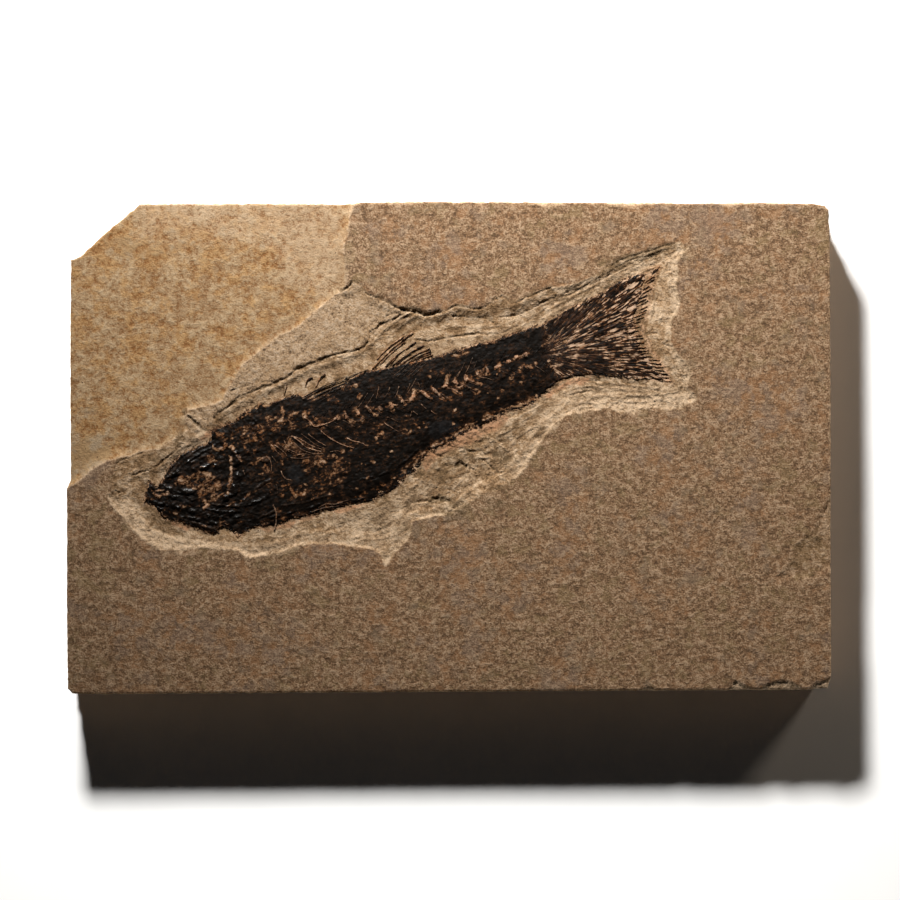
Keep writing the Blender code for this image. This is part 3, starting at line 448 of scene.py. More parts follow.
# Vertebrae and their arms: each point is U, V and half width in plan units
VERTEBRAE = [
    [(333, 419.5, 0.9), (335.5, 419, 1.6), (337.5, 417, 0.9)],
    [(345, 411.5, 0.7), (346, 415, 1.2), (347.2, 418, 1.7), (348.5, 419.5, 0.8)],
    [(351, 421.5, 0.7), (354, 421, 0.8)],
    [(356, 408, 0.7), (357.5, 411.5, 1.1), (358.5, 414.5, 1.5), (359, 416.5, 0.8)],
    [(361, 417.5, 1.2), (362.5, 419.5, 1.2)],
    [(365.5, 405.5, 0.9), (368, 408.5, 1.5), (370, 411.5, 1.5), (371.5, 413.5, 0.8)],
    [(373.5, 415, 0.6), (376.5, 414.5, 0.7)],
    [(378.5, 406.5, 1.0), (381, 409, 1.7), (382, 411, 0.9)],
    [(390.5, 404, 1.4), (392, 406, 1.7), (392, 410, 1.0)],
    [(393, 405, 1.0), (396.5, 405.5, 1.1), (398, 404, 0.5)],
    [(400, 396.5, 0.9), (401.5, 399.5, 1.3), (403, 402, 1.8), (404, 404, 0.9)],
    [(404, 401, 0.9), (409, 400.5, 0.8)],
    [(414.5, 391, 0.8), (414, 395, 1.5), (412.5, 398.5, 1.9), (410, 402, 0.9)],
    [(419, 391.5, 0.5), (422, 391.5, 1.3), (424.5, 394, 1.7), (428, 397, 1.2), (431, 399, 0.5)],
    [(432, 387.5, 0.9), (434.5, 390.5, 1.7), (437.5, 393.5, 1.5), (441, 396.5, 1.1), (445, 399.5, 0.6)],
    [(437, 394, 0.6), (442, 394.5, 0.8), (447, 397.5, 0.9), (451, 399.5, 0.5)],
    [(443, 386.5, 1.2), (445.5, 386, 1.8), (448, 387, 1.0)],
    [(447, 388, 0.8), (452, 389, 1.0), (456, 391, 1.1), (461, 394.5, 0.6)],
    [(455, 378.5, 0.6), (454.5, 381, 1.2), (456.5, 383, 1.9), (458.5, 384.5, 1.0)],
    [(455.5, 385, 0.8), (458, 388, 1.0), (461, 387, 1.0), (464, 384.5, 0.8)],
    [(461, 383, 0.7), (467, 386, 0.7), (472, 389, 0.7), (478, 391.5, 0.4)],
    [(470, 390, 0.8), (474, 393, 0.9)],
    [(465, 374.5, 0.8), (466, 378, 1.8), (467.5, 381, 1.6)],
    [(468, 379.5, 0.9), (473, 381.5, 0.9), (480, 384.5, 0.4)],
    [(477.5, 371.5, 1.2), (478, 374.5, 1.9), (478.5, 377, 0.9)],
    [(480, 372.5, 0.5), (484, 370, 0.4)],
    [(486.5, 366.5, 0.8), (487.5, 370, 1.3), (488, 373.5, 1.0)],
    [(494, 368, 0.5), (497, 367, 1.6), (499, 365.5, 1.1)],
    [(500, 363.5, 0.5), (506, 362, 0.4)],
    [(506.5, 361.5, 1.2), (509, 361.8, 1.9), (511, 361, 1.0)],
    [(514.5, 358, 1.3), (517, 357.3, 1.9), (519, 356.5, 1.0)],
    [(523, 356, 1.2), (525.3, 354.8, 2.1), (527, 352.5, 1.1)],
    [(447, 385, 0.4), (446.5, 380, 0.5), (450, 372, 0.3)],
    [(520, 368.5, 0.5), (524, 366.5, 0.6), (531, 366.5, 0.4)],
    [(511, 378, 0.9), (513, 374, 0.6)],
]

# Ribs and thin bones: half width in millimetres, strength of the bone's colour, and path
THIN_BONES = [
    # Ribs
    (0.13, 0.85, [(271, 445), (276, 451), (281, 455)]),
    (0.20, 0.60, [(274, 445), (280, 449), (285, 453), (287, 457)]),
    (0.14, 0.75, [(287, 449), (292, 451), (297, 453)]),
    (0.12, 0.50, [(284, 440), (285.5, 444), (288, 448)]),
    (0.12, 0.40, [(293, 436), (288.5, 437), (287, 441)]),
    (0.19, 1.00, [(294, 437), (300, 442), (306, 447), (313, 449.5), (322, 451.5)]),
    (0.16, 0.80, [(291, 436), (298, 438), (304, 441.5), (311, 445.5), (322, 449.5)]),
    (0.15, 0.50, [(294, 443), (301, 449), (310, 453), (323, 454)]),
    (0.12, 0.45, [(277, 443), (283, 447), (290, 452), (296, 455)]),
    (0.12, 0.45, [(301, 434), (308, 439), (316, 445), (324, 448)]),
    (0.14, 0.60, [(297, 455), (304, 454), (312, 455)]),
    (0.12, 0.35, [(290, 458), (300, 458.5), (312, 457)]),
    (0.13, 0.70, [(308, 434), (316, 440), (326, 446)]),
    (0.18, 0.85, [(321, 431), (329, 437.5), (337, 442), (344, 445.5), (354, 448)]),
    (0.17, 0.90, [(347, 438), (353, 440.8), (361, 442.5), (367, 446)]),
    (0.12, 0.60, [(330, 452), (336, 451), (342, 452)]),
    (0.13, 0.70, [(384, 423), (391, 427), (399, 432)]),
    (0.11, 0.35, [(387, 417), (392, 419), (398, 422)]),
    (0.12, 0.45, [(421, 404), (424, 407), (427, 409)]),
    (0.12, 0.50, [(431, 411), (434, 413), (437, 414)]),
    (0.12, 0.40, [(413, 411), (418, 415)]),
    # Shoulder and nape
    (0.27, 0.85, [(273, 505), (276, 513), (276, 522), (274, 531)]),
    (0.22, 0.95, [(304, 417), (309, 421), (315, 426.5), (325, 424), (335, 420)]),
    (0.13, 0.80, [(266, 456), (270, 460), (271.5, 465), (271.5, 472)]),
    (0.15, 0.90, [(281, 471), (283, 476), (286, 479), (291, 480)]),
    (0.12, 0.45, [(243, 470), (244, 473), (245, 476)]),
    (0.11, 0.45, [(272, 456), (274, 459), (276, 462)]),
    (0.11, 0.40, [(276, 484), (277, 489), (277, 494)]),
    # Thin spines over the backbone
    (0.11, 0.60, [(379, 386), (378, 392), (376, 399)]),
    (0.15, 0.60, [(390, 387), (388.5, 392)]),
    (0.11, 0.50, [(399, 386), (397, 393), (395, 398)]),
    (0.10, 0.30, [(410, 383), (407, 391)]),
    (0.12, 0.50, [(418, 382), (420, 388)]),
    (0.11, 0.50, [(460, 371), (457, 376)]),
    (0.12, 0.55, [(412, 411), (410, 417)]),
    # Thin bones behind and below
    (0.10, 0.45, [(478, 377), (486, 378), (494, 380)]),
    (0.12, 0.50, [(318, 508), (326, 504), (336, 504), (348, 500)]),
    (0.11, 0.50, [(312, 512), (324, 508), (340, 506)]),
    # Fine lines under the fin of the back
    (0.06, 0.35, [(393, 376), (400, 370), (408, 364)]),
    (0.06, 0.40, [(397, 377), (405, 370), (413, 363)]),
    (0.06, 0.35, [(402, 377), (410, 370), (418, 363)]),
    (0.06, 0.30, [(407, 377), (415, 370), (423, 362)]),
    (0.06, 0.25, [(412, 376), (420, 369), (428, 361)]),
    (0.06, 0.25, [(316, 399), (326, 393), (340, 388), (352, 383)]),
    (0.06, 0.25, [(312, 398), (324, 391), (338, 385), (350, 379)]),
    (0.06, 0.20, [(322, 400), (334, 393), (346, 388)]),
]

# Bars and plates of the skull: half width and height in millimetres, strength of the bone's colour, path
SKULL_BONES = [
    # Roof of the skull, a band of long strips
    (0.32, 0.16, 0.00, [(166, 474), (176, 461), (190, 450), (204, 440)]),
    (0.30, 0.17, 0.05, [(170, 475), (180, 463), (194, 452), (210, 442)]),
    (0.30, 0.16, 0.00, [(174, 475), (186, 463), (198, 455), (214, 446)]),
    (0.26, 0.14, 0.10, [(180, 473), (190, 464), (202, 457), (212, 452)]),
    (0.22, 0.12, 0.00, [(176, 459), (188, 449), (198, 442), (206, 437)]),
    # Long bar under the eye, with a painted highlight along its top
    (0.55, 0.28, 0.00, [(168, 477), (182, 472), (198, 469), (214, 465)]),
    (0.16, 0.10, 0.75, [(186, 468), (194, 467), (204, 467)]),
    # Upper jaw
    (0.70, 0.30, 0.00, [(160, 486), (170, 489), (180, 491), (192, 492)]),
    (0.60, 0.26, 0.00, [(170, 497), (180, 498), (190, 500), (198, 503)]),
    (0.35, 0.20, 0.00, [(161, 491), (168, 492), (176, 493)]),
    (0.16, 0.14, 0.60, [(154, 494), (160, 495.5), (167, 495)]),
    (0.14, 0.12, 0.65, [(154, 490.5), (160, 491), (164, 490)]),
    # Snout
    (0.55, 0.26, 0.00, [(147, 487), (148, 483), (151, 483), (153, 488)]),
    (0.60, 0.24, 0.00, [(146, 492), (147, 497), (151, 501)]),
    # Lower jaw, in broken rows
    (0.55, 0.26, 0.00, [(154, 503), (168, 505), (182, 509), (196, 512), (208, 516)]),
    (0.45, 0.24, 0.00, [(157, 508), (170, 512), (186, 517), (204, 521), (216, 524)]),
    (0.40, 0.20, 0.05, [(166, 514), (182, 519), (200, 525), (214, 529)]),
    (0.30, 0.16, 0.00, [(196, 508), (210, 510), (224, 512), (240, 511)]),
    (0.30, 0.15, 0.05, [(212, 504), (226, 506), (240, 506)]),
    (0.28, 0.14, 0.00, [(214, 516), (230, 518), (246, 516)]),
    (0.18, 0.12, 0.85, [(180, 505.5), (188, 506), (194, 507), (200, 506)]),
    (0.24, 0.14, 0.70, [(204, 508), (207, 505)]),
    # Bar behind the cheek, with a worn pale rim
    (1.05, 0.34, 0.00, [(237, 455), (238, 468), (237, 480), (234, 490), (226, 500)]),
    (0.35, 0.14, 0.00, [(243, 458), (245, 470), (243, 484)]),
    (0.30, 0.22, 0.25, [(230, 455), (231.5, 464), (231.5, 474), (230, 482), (228, 489)]),
    (0.40, 0.20, 0.15, [(219, 449.5), (224, 447.5), (230, 446.5), (233, 450)]),
    (0.16, 0.12, 0.45, [(234, 451), (237, 456), (240, 461)]),
    # Gill cover
    (0.45, 0.20, 0.10, [(243, 466), (252, 462), (260, 460), (267, 461)]),
    (0.30, 0.14, 0.30, [(258, 461), (263, 458), (268, 458), (271, 462)]),
    (0.40, 0.20, 0.05, [(244, 500), (252, 492), (262, 484), (270, 480)]),
    (0.30, 0.14, 0.10, [(246, 480), (256, 481), (266, 476)]),
    (0.55, 0.22, 0.00, [(236, 506), (250, 504), (264, 498), (276, 490)]),
    (0.35, 0.16, 0.05, [(250, 520), (264, 516), (276, 510)]),
    # Strips along the belly
    (0.35, 0.15, 0.00, [(262, 520), (286, 514), (310, 508), (334, 500)]),
    (0.28, 0.12, 0.05, [(282, 506), (306, 502), (330, 495), (352, 489)]),
    (0.28, 0.12, 0.00, [(290, 517), (316, 510), (342, 503), (366, 498)]),
    (0.30, 0.12, 0.00, [(360, 480), (384, 474), (404, 462), (418, 450)]),
]

# Where the film is worn to orange and tan: strength and outline
WORN_PATCHES = [
    (0.46, [(176, 476), (192, 472), (212, 472), (224, 482), (222, 492), (204, 496), (190, 489),
        (178, 487)]),
    (0.43, [(196, 490), (208, 492), (222, 493), (226, 498), (216, 502), (206, 505), (196, 501)]),
    (0.36, [(213, 436), (236, 428), (252, 420), (268, 422), (266, 440), (250, 446), (228, 446)]),
    (0.34, [(262, 412), (276, 408), (300, 406), (300, 430), (284, 432), (266, 434)]),
    (0.33, [(202, 452), (214, 450), (220, 462), (214, 470), (202, 466)]),
    (0.35, [(300, 456), (330, 452), (350, 460), (354, 476), (336, 488), (312, 486), (302, 472)]),
    (0.30, [(284, 486), (300, 484), (340, 488), (330, 504), (288, 503)]),
    (0.36, [(268, 440), (296, 434), (322, 450), (318, 460), (296, 462), (272, 456)]),
    (0.33, [(298, 408), (306, 410), (326, 420), (340, 430), (320, 434), (304, 426)]),
    (0.34, [(322, 392), (340, 394), (342, 404), (324, 402)]),
    (0.33, [(338, 384), (352, 380), (360, 384), (352, 392), (341, 391)]),
    (0.18, [(478, 386), (508, 384), (508, 394), (476, 398)]),
    (0.24, [(330, 424), (360, 420), (410, 412), (432, 424), (400, 450), (344, 444)]),
    (0.34, [(262, 480), (280, 476), (292, 486), (288, 500), (272, 498)]),
    (0.17, [(440, 414), (470, 404), (500, 400), (504, 411), (478, 424), (452, 434)]),
    (0.50, [(430, 446), (444, 438), (458, 428), (470, 424), (478, 428), (462, 436), (446, 444),
        (432, 452)]),
    (0.36, [(400, 470), (420, 450), (428, 452), (416, 468), (404, 476)]),
    (0.33, [(446, 358), (456, 353), (470, 348), (470, 354), (456, 360)]),
    (0.18, [(508, 372), (530, 362), (548, 360), (552, 372), (530, 384), (508, 392)]),
]

# Strokes of bare bone and rust: half width in plan units, strength, and path
WORN_STROKES = [
    # Round the eye and on the cheek
    (1.7, 0.98, [(213, 447), (217, 450), (221, 449), (224, 446.5), (227, 445), (230, 446),
        (233, 448.5)]),
    (1.2, 1.00, [(229.5, 456), (230.8, 462), (231, 470), (230.6, 477)]),
    (1.8, 0.88, [(230.6, 476), (230.5, 482), (228.5, 487)]),
    (1.6, 0.56, [(200, 473.5), (206, 473), (212, 475.5)]),
    (2.8, 0.48, [(177, 482), (181, 481), (183, 483)]),
    (4.0, 0.44, [(187, 482), (191, 482), (196, 485)]),
    (3.0, 0.38, [(203, 480), (209, 480.5), (207, 487)]),
    (2.8, 0.34, [(214, 484), (220, 488)]),
    (2.2, 0.46, [(198, 492), (202, 495)]),
    (1.6, 0.55, [(211, 491.5), (216, 493)]),
    (1.5, 0.55, [(211, 497), (216, 497.5)]),
    (1.7, 0.80, [(219, 497), (223, 495), (227, 493)]),
    (1.8, 0.44, [(206, 453), (209, 457), (207, 462)]),
    (1.3, 0.40, [(211, 455), (214, 461)]),
    # Jaws
    (1.2, 0.90, [(153, 494), (158, 496), (163, 494.5), (168, 493)]),
    (1.0, 0.50, [(151, 491), (157, 491), (161, 490)]),
    (1.1, 0.50, [(151, 499), (155, 499)]),
    (1.3, 0.80, [(182, 506), (185, 507)]),
    (1.3, 0.62, [(187, 505), (190, 504.5)]),
    (1.0, 0.45, [(190, 505.5), (196, 506)]),
    (1.2, 0.72, [(197, 506), (199, 505.5)]),
    (1.4, 0.90, [(203.5, 508), (206, 506), (208, 504.5)]),
    (0.9, 0.38, [(165, 510.5), (170, 512), (176, 514)]),
    (1.2, 0.36, [(196, 525), (205, 526)]),
    (0.9, 0.40, [(219, 521), (224, 522)]),
    (0.8, 0.46, [(231, 512.5), (237, 512)]),
    (1.4, 0.36, [(226, 506), (235, 503), (241, 502)]),
    # Rusty beds of the ribs
    (2.0, 0.26, [(272, 446), (280, 452), (287, 457)]),
    (2.6, 0.30, [(292, 437), (300, 441), (308, 447), (322, 451)]),
    (1.8, 0.18, [(322, 432), (334, 440), (352, 448)]),
    # Nape and shoulder
    (2.3, 0.78, [(215.5, 434), (222, 434)]),
    (1.5, 0.85, [(282, 407), (283, 413), (282, 418), (279, 422)]),
    (1.2, 0.55, [(272, 420), (276, 416)]),
    (2.1, 0.50, [(254, 428), (258, 426), (262, 427)]),
    (1.7, 0.52, [(254, 437.5), (258, 437), (262, 438)]),
    (1.6, 0.52, [(270, 432), (274, 429)]),
    (2.4, 0.46, [(281, 426), (285, 421)]),
    (1.5, 0.54, [(289, 418), (291, 422), (294, 425.5)]),
    (2.4, 0.50, [(304, 412), (305, 417), (309, 421)]),
    (1.5, 0.95, [(309, 421), (314, 426), (320, 425), (326, 424)]),
    (2.2, 0.44, [(290, 436.5), (297, 438), (302, 442), (306, 446)]),
    (1.3, 0.56, [(244, 446), (246, 450), (250, 450), (256, 450)]),
    (1.0, 0.55, [(239, 455), (241, 461)]),
    # Gill cover
    (1.4, 0.80, [(257, 462), (258, 459), (262, 459)]),
    (1.2, 0.42, [(244, 462), (250, 463), (256, 464)]),
    (3.0, 0.54, [(266, 466), (267, 470)]),
    (1.2, 0.55, [(259, 474), (265, 473.5), (269, 470)]),
    (1.5, 0.58, [(281, 462), (283, 464)]),
    (1.3, 0.40, [(263, 476), (265, 481)]),
    (1.1, 0.46, [(282, 486), (289, 486), (291, 490)]),
    (1.7, 0.85, [(291, 490), (294, 494.5), (299, 495), (304, 493)]),
    (1.0, 0.42, [(244, 497), (250, 493.5), (256, 491)]),
    (1.5, 0.56, [(305, 470), (308, 467), (313, 467), (316, 463)]),
    (2.2, 0.44, [(315, 480), (320, 483)]),
    # Margin of the back and root of the tail
    (1.6, 0.46, [(222, 424), (232, 423), (239, 419), (246, 413)]),
    (2.2, 0.30, [(262, 524), (290, 517), (320, 508), (352, 499), (384, 486)]),
    (2.0, 0.34, [(402, 470), (416, 461), (430, 447), (446, 437)]),
    (1.6, 0.34, [(470, 424), (492, 413), (514, 405), (536, 396)]),
    (1.1, 0.60, [(449, 357), (455, 355), (460, 355)]),
    (1.8, 0.60, [(548, 366), (553, 366.5), (562, 365)]),
    (0.9, 0.66, [(541, 347), (548, 343), (556, 341), (563, 338)]),
    # Bare rays of the tail
    (0.7, 0.62, [(557, 356), (561, 348), (565, 342)]),
    (0.7, 0.60, [(560, 357), (568, 349), (575, 344)]),
    (0.8, 0.58, [(571, 340), (576, 330), (580, 322)]),
    (0.7, 0.52, [(588, 318), (596, 310), (602, 305)]),
    (0.7, 0.50, [(565, 361), (574, 357), (586, 354)]),
    (1.5, 0.66, [(599, 325), (604, 321)]),
    (1.2, 0.66, [(632, 355), (640, 354)]),
    (1.3, 0.60, [(614, 335), (618, 330)]),
    (1.4, 0.55, [(616, 365), (619, 363)]),
    (0.8, 0.56, [(626, 348), (636, 345), (646, 344)]),
    (0.8, 0.56, [(622, 338), (632, 332), (641, 329)]),
    (0.8, 0.60, [(628, 318), (636, 313), (643, 309)]),
    (0.8, 0.60, [(636, 290), (643, 284), (649, 280)]),
]

# Parts of the tail where the film is whole and black
TAIL_MASSES = [
    [(546, 322), (558, 312), (566, 316), (560, 328), (550, 334)],
    [(586, 304), (594, 297), (604, 296), (600, 306), (590, 310)],
    [(604, 293), (618, 284), (630, 278), (644, 272), (654, 267), (651, 274), (638, 282), (622, 291),
        (608, 298)],
    [(600, 330), (606, 322), (616, 320), (618, 326), (606, 333), (598, 340)],
    [(636, 292), (648, 283), (650, 287), (640, 296), (628, 302)],
    [(624, 362), (640, 356), (650, 364), (660, 375), (648, 378), (630, 373)],
    [(556, 368), (600, 367), (640, 371), (640, 376), (600, 374), (560, 374)],
    [(566, 319), (580, 312), (590, 312), (578, 326), (568, 335), (562, 328)],
    [(576, 350), (590, 348), (606, 352), (600, 362), (584, 360)],
    [(560, 363), (576, 361), (596, 362), (596, 371), (560, 371)],
]

# Where the film thins out along the belly
THIN_MARGIN = [(384, 487), (416, 462), (456, 437), (492, 413), (528, 399)]

# Thin dark hairs beside the back: half width in millimetres and path
BACK_HAIRS = [
    (0.19, [(303, 400), (309, 396), (322, 388.5), (336, 383), (348, 378.5)]),
    (0.18, [(306, 396), (312, 392.5), (325, 385.5), (338, 380.5)]),
    (0.18, [(306, 401), (312, 398), (326, 391), (345, 383)]),
    (0.13, [(311, 400), (320, 394.5), (332, 389), (344, 384.5)]),
    (0.12, [(345, 378.5), (356, 374), (366, 370)]),
    (0.06, [(330, 382), (344, 376.5), (356, 372)]),
    (0.07, [(431, 357.5), (444, 353.5), (456, 349)]),
]

# Single flecks on the body: U, V and radius
FLECKS = [
    (334, 398, 2.6), (328, 400, 1.6), (325, 395, 1.4), (360, 396.5, 3.0), (349, 397, 1.4),
    (350, 389, 1.3), (355, 386, 2.4), (342, 387, 2.4), (357, 388, 1.2), (325, 461, 3.4),
    (320, 462, 2.0), (335, 456, 2.8), (343, 452, 2.4), (350, 451, 2.0), (333, 473, 2.2),
    (343, 470, 1.6), (371, 461.5, 1.9), (374, 462, 1.9), (362, 464, 1.2), (366, 464.5, 1.1),
    (360, 457, 1.3), (378, 435, 2.6), (382, 433, 2.0), (376, 438, 1.6), (384, 437, 1.7),
    (379, 428.5, 1.3), (388, 456, 1.5), (391, 452, 1.4), (393, 456, 1.1), (412, 462, 1.8),
    (415, 466, 2.0), (411, 431, 1.3), (407, 430.5, 1.2), (424, 422.5, 2.2), (426, 427, 1.7),
    (419, 428, 1.6), (418, 431, 1.4), (461, 421, 2.2), (454, 423, 1.8), (466, 425, 1.2),
    (446, 434, 1.6), (447, 438, 1.2), (479, 425, 1.0), (484, 420, 1.4), (486, 417, 1.1),
    (490, 414.5, 1.3), (504, 409, 1.6), (498, 398, 1.5), (497, 388.5, 1.3), (502, 389, 1.3),
    (487, 393, 1.2), (497, 375, 1.2), (472, 400, 1.9), (474, 398, 1.4), (455, 410, 1.5),
    (430, 377, 1.6), (417, 383, 1.5), (463, 374, 1.2), (467, 373, 1.2), (521, 382, 1.6),
    (536, 374.5, 1.2), (531, 376, 1.1), (536, 363, 1.8), (549, 361, 1.5), (360, 470, 1.8),
    (349, 486, 1.6), (368, 478, 2.0), (357, 489, 1.7), (386, 470, 1.4), (395, 478, 1.6),
    (380, 484, 1.3), (306, 484, 1.8), (318, 492, 2.0), (330, 494, 1.6), (341, 480, 1.5),
    (312, 500, 1.4), (299, 508, 1.6), (340, 462, 1.7),
]

# Where a grey sheen is painted on the black film
GREY_SHEEN_PATCHES = [
    [(430, 424), (440, 419), (454, 420), (460, 427), (450, 436), (436, 440), (428, 434)],
    [(288, 462), (300, 464), (306, 474), (298, 484), (288, 480)],
    [(176, 498), (186, 499), (188, 503), (178, 503)],
    [(398, 470), (408, 464), (410, 470), (400, 478)],
]

# Rays of the fin on the back: half width in millimetres and path
DORSAL_RAYS = [
    (0.15, [(372, 369), (380, 360.5), (391, 350), (402, 340.5), (413, 332)]),
    (0.13, [(377, 359), (384, 351.5), (394, 343), (404, 336)]),
    (0.10, [(380, 364), (388, 356), (397, 348), (405, 341.5)]),
    (0.12, [(385, 367), (393, 358.5), (404, 350), (416, 342)]),
    (0.09, [(389, 366), (393, 361), (398, 354)]),
    (0.12, [(392, 366), (402, 358), (413, 351), (424, 345)]),
    (0.10, [(396, 365), (403, 359), (411, 353)]),
    (0.12, [(400, 365), (410, 358), (420, 352.5), (430, 348.5)]),
    (0.11, [(408, 362.5), (418, 356.5), (431, 351)]),
    (0.09, [(415, 360), (423, 356), (431, 353.5)]),
    (0.09, [(421, 359), (427, 356.5), (433, 355)]),
]
LOOSE_SPINES = {
    "loose_spine_front": [(287, 383), (286.5, 386), (285.5, 390), (284, 395)],
    "loose_spine_middle": [(312.5, 377.5), (308, 379.5), (306, 383), (305.5, 388)],
    "loose_spine_rear": [(325, 374), (321.5, 377), (318, 381), (315.5, 388)],
}


def length(name, description, default):
    return FloatProperty(name=name, description=description, default=default, unit="LENGTH")


class FossilSizes(PropertyGroup):
    """Sizes that shape the slab and the fish."""

    slab_length: length("Slab length", "Longest side", 0.195)
    trough_spacing: length("Trough mesh", "Mesh size in the trough", 0.000282)
    face_spacing: length("Face mesh", "Mesh size on the flat split face", 0.00100)
    film_spacing: length("Fish mesh", "Mesh size on the fish", 0.00022)
    brown_drop: length("Brown layer", "Thickness of the brown layer", 0.00050)
    tan_drop: length("Tan layer", "Further drop to the yellow layer", 0.00045)
    trough_drop: length("Trough layer", "Further drop into the trough", 0.00042)
    floor_drop: length("Floor layer", "Further drop to the floor at the fish", 0.00014)
    flake_drop: length("Corner flake", "Depth of the flaked corner", 0.00030)
    film_crown: length("Fish crown", "Height of the fish above the trough's floor", 0.00060)
    film_edge: length("Fish edge", "Height of the fish's margin above the floor", 0.00016)
    tail_ray_radius: length("Tail ray", "Half width of a tail ray", 0.00013)


def colour(name, description, default):
    return FloatVectorProperty(name=name, description=description, subtype="COLOR", size=3, min=0, max=1,
                               default=default)


class FossilColours(PropertyGroup):
    """Colours of the stone layers, the fish and the floor."""

    brown_dark: colour("Brown, dark", "Dark grains of the split face", (0.15, 0.085, 0.046))
    brown_mid: colour("Brown", "The split face", (0.318, 0.186, 0.098))
    brown_light: colour("Brown, light", "Light grains of the split face", (0.58, 0.395, 0.250))
    brown_rusty: colour("Brown, rusty", "Warm clouds on the split face", (0.40, 0.200, 0.090))
    brown_olive: colour("Brown, olive", "Yellowish clouds on the split face", (0.31, 0.215, 0.098))
    brown_grey: colour("Brown, grey", "Lilac-grey clouds on the split face", (0.30, 0.210, 0.155))
    yellow_dark: colour("Yellow, dark", "Rusty grains of the yellow layer", (0.29, 0.145, 0.058))
    yellow_mid: colour("Yellow", "The yellow layer", (0.455, 0.288, 0.152))
    yellow_light: colour("Yellow, light", "Pale grains of the yellow layer", (0.62, 0.440, 0.262))
    yellow_orange: colour("Yellow, orange", "Tint of the yellow layer's clouds", (0.98, 0.83, 0.62))
    yellow_grey: colour("Yellow, grey", "Grey blotches of the yellow layer", (0.47, 0.365, 0.25))
    pale_dark: colour("Plateau, dark", "Dark grains of the pale plateau", (0.150, 0.095, 0.055))
    pale_mid: colour("Plateau", "The pale plateau", (0.475, 0.308, 0.176))
    pale_warm: colour("Plateau, warm", "Tan clouds on the plateau", (0.48, 0.295, 0.150))
    pale_light: colour("Plateau, light", "Light grains of the plateau", (0.64, 0.475, 0.325))
    trough_dark: colour("Trough, dark", "Shaded clay of the trough", (0.170, 0.096, 0.042))
    trough_mid: colour("Trough", "Cleared stone in the trough", (0.400, 0.242, 0.124))
    trough_light: colour("Trough, light", "Freshly broken stone", (0.74, 0.540, 0.358))
    # Olive: darker clay beside the fish, and painted shade in the shaded patches of the trough
    olive: colour("Olive", "Damp-looking clay between the fish and the rim", (0.17, 0.112, 0.058))
    # Dirt and painted shade: the crack colour darkens the cut cracks as if they lay in shade
    crack_dirt_and_shade: colour("Crack", "Dirt in the cracks", (0.095, 0.058, 0.021))
    rust: colour("Rust", "Rusty stain beside the fish", (0.61, 0.300, 0.155))
    film: colour("Fish", "Black film of the fish", (0.0045, 0.0024, 0.0010))
    film_brown: colour("Fish, brown", "Brown, thin parts of the film", (0.0540, 0.0225, 0.0084))
    film_rust: colour("Fish, rust", "Rusty rim of the worn flecks", (0.100, 0.037, 0.014))
    film_orange: colour("Fish, orange", "Orange flecks", (0.30, 0.110, 0.034))
    film_tan: colour("Fish, tan", "Flecks where the film is gone", (0.30, 0.162, 0.080))
    # Painted sheen: a grey that stands in for the film's soft reflection
    grey_sheen: colour("Fish, slate", "Smooth grey parts", (0.0170, 0.0165, 0.0170))
    bone: colour("Bone", "Vertebrae and ribs", (0.42, 0.205, 0.108))
    bone_pale: colour("Bone, pale", "Worn bone", (0.62, 0.420, 0.285))
    floor: colour("Floor", "The studio floor", (0.92, 0.92, 0.92))
    floor_shade: colour("Floor, shade", "Faint clouding of the floor", (0.90, 0.90, 0.90))


def plan_unit():
    """Length of one plan unit in metres."""
    return bpy.context.scene.fossil_sizes.slab_length / PLAN_LENGTH


def place(points):
    """Plan points as x, y in metres. A third number, in plan units, holds until the next one."""
    rows = list(points[:1])
    for point in points[1:]:
        rows.append((*point, *rows[-1][len(point):]))
    unit = plan_unit()
    p = np.array(rows, float)
    out = p * unit
    out[:, 0] = (p[:, 0] - PLAN_CENTRE_U) * unit
    out[:, 1] = (PLAN_CENTRE_V - p[:, 1]) * unit
    return out


def noise(p, size, seed, octaves=4, stretch=(1.0, 1.0)):
    """Soft random field, about 0 on average and within -1 to 1, with lumps of the given size."""
    total = np.zeros(len(p))
    weight = 1.0
    reach = 0.0
    for octave in range(octaves):
        rng = np.random.default_rng(SEED * 1000 + seed * 17 + octave)
        table = rng.uniform(-1, 1, (NOISE_CELLS, NOISE_CELLS))
        q = p / (size * np.array(stretch)) * 2.0**octave + NOISE_START
        cell = np.floor(q).astype(int)
        f = q - cell
        f = f * f * f * (f * (6 * f - 15) + 10)
        i, j = cell[:, 0] % (NOISE_CELLS - 1), cell[:, 1] % (NOISE_CELLS - 1)
        low = table[i, j] * (1 - f[:, 0]) + table[i + 1, j] * f[:, 0]
        high = table[i, j + 1] * (1 - f[:, 0]) + table[i + 1, j + 1] * f[:, 0]
        total += weight * (low * (1 - f[:, 1]) + high * f[:, 1])
        reach += weight
        weight *= NOISE_SHARE
    return total / reach * NOISE_GAIN


def ease(x):
    """0 below 0, 1 above 1, and a smooth rise between."""
    t = np.clip(x, 0, 1)
    return t * t * (3 - 2 * t)


def resample(line, step, closed=False):
    """The line with points added so that no stretch is longer than step. Its corners stay."""
    ends = np.roll(line, -1, 0) if closed else line[1:]
    out = []
    for a, b in zip(line, ends):
        count = max(1, math.ceil(np.linalg.norm(b[:2] - a[:2]) / step))
        out += [a + (b - a) * k / count for k in range(count)]
    if not closed:
        out.append(line[-1])
    return np.array(out)


def smooth(line, step):
    """A smooth curve through the points, read off about every step."""
    padded = np.vstack([2 * line[0] - line[1], line, 2 * line[-1] - line[-2]])
    out = []
    for k in range(len(line) - 1):
        a, b, c, d = padded[k : k + 4]
        count = max(1, round(np.linalg.norm(c - b) / step))
        for t in np.arange(count) / count:
            out.append(0.5 * (2 * b + (c - a) * t + (2 * a - 5 * b + 4 * c - d) * t**2
                              + (3 * b - a - 3 * c + d) * t**3))
    return np.array(out + [line[-1]])


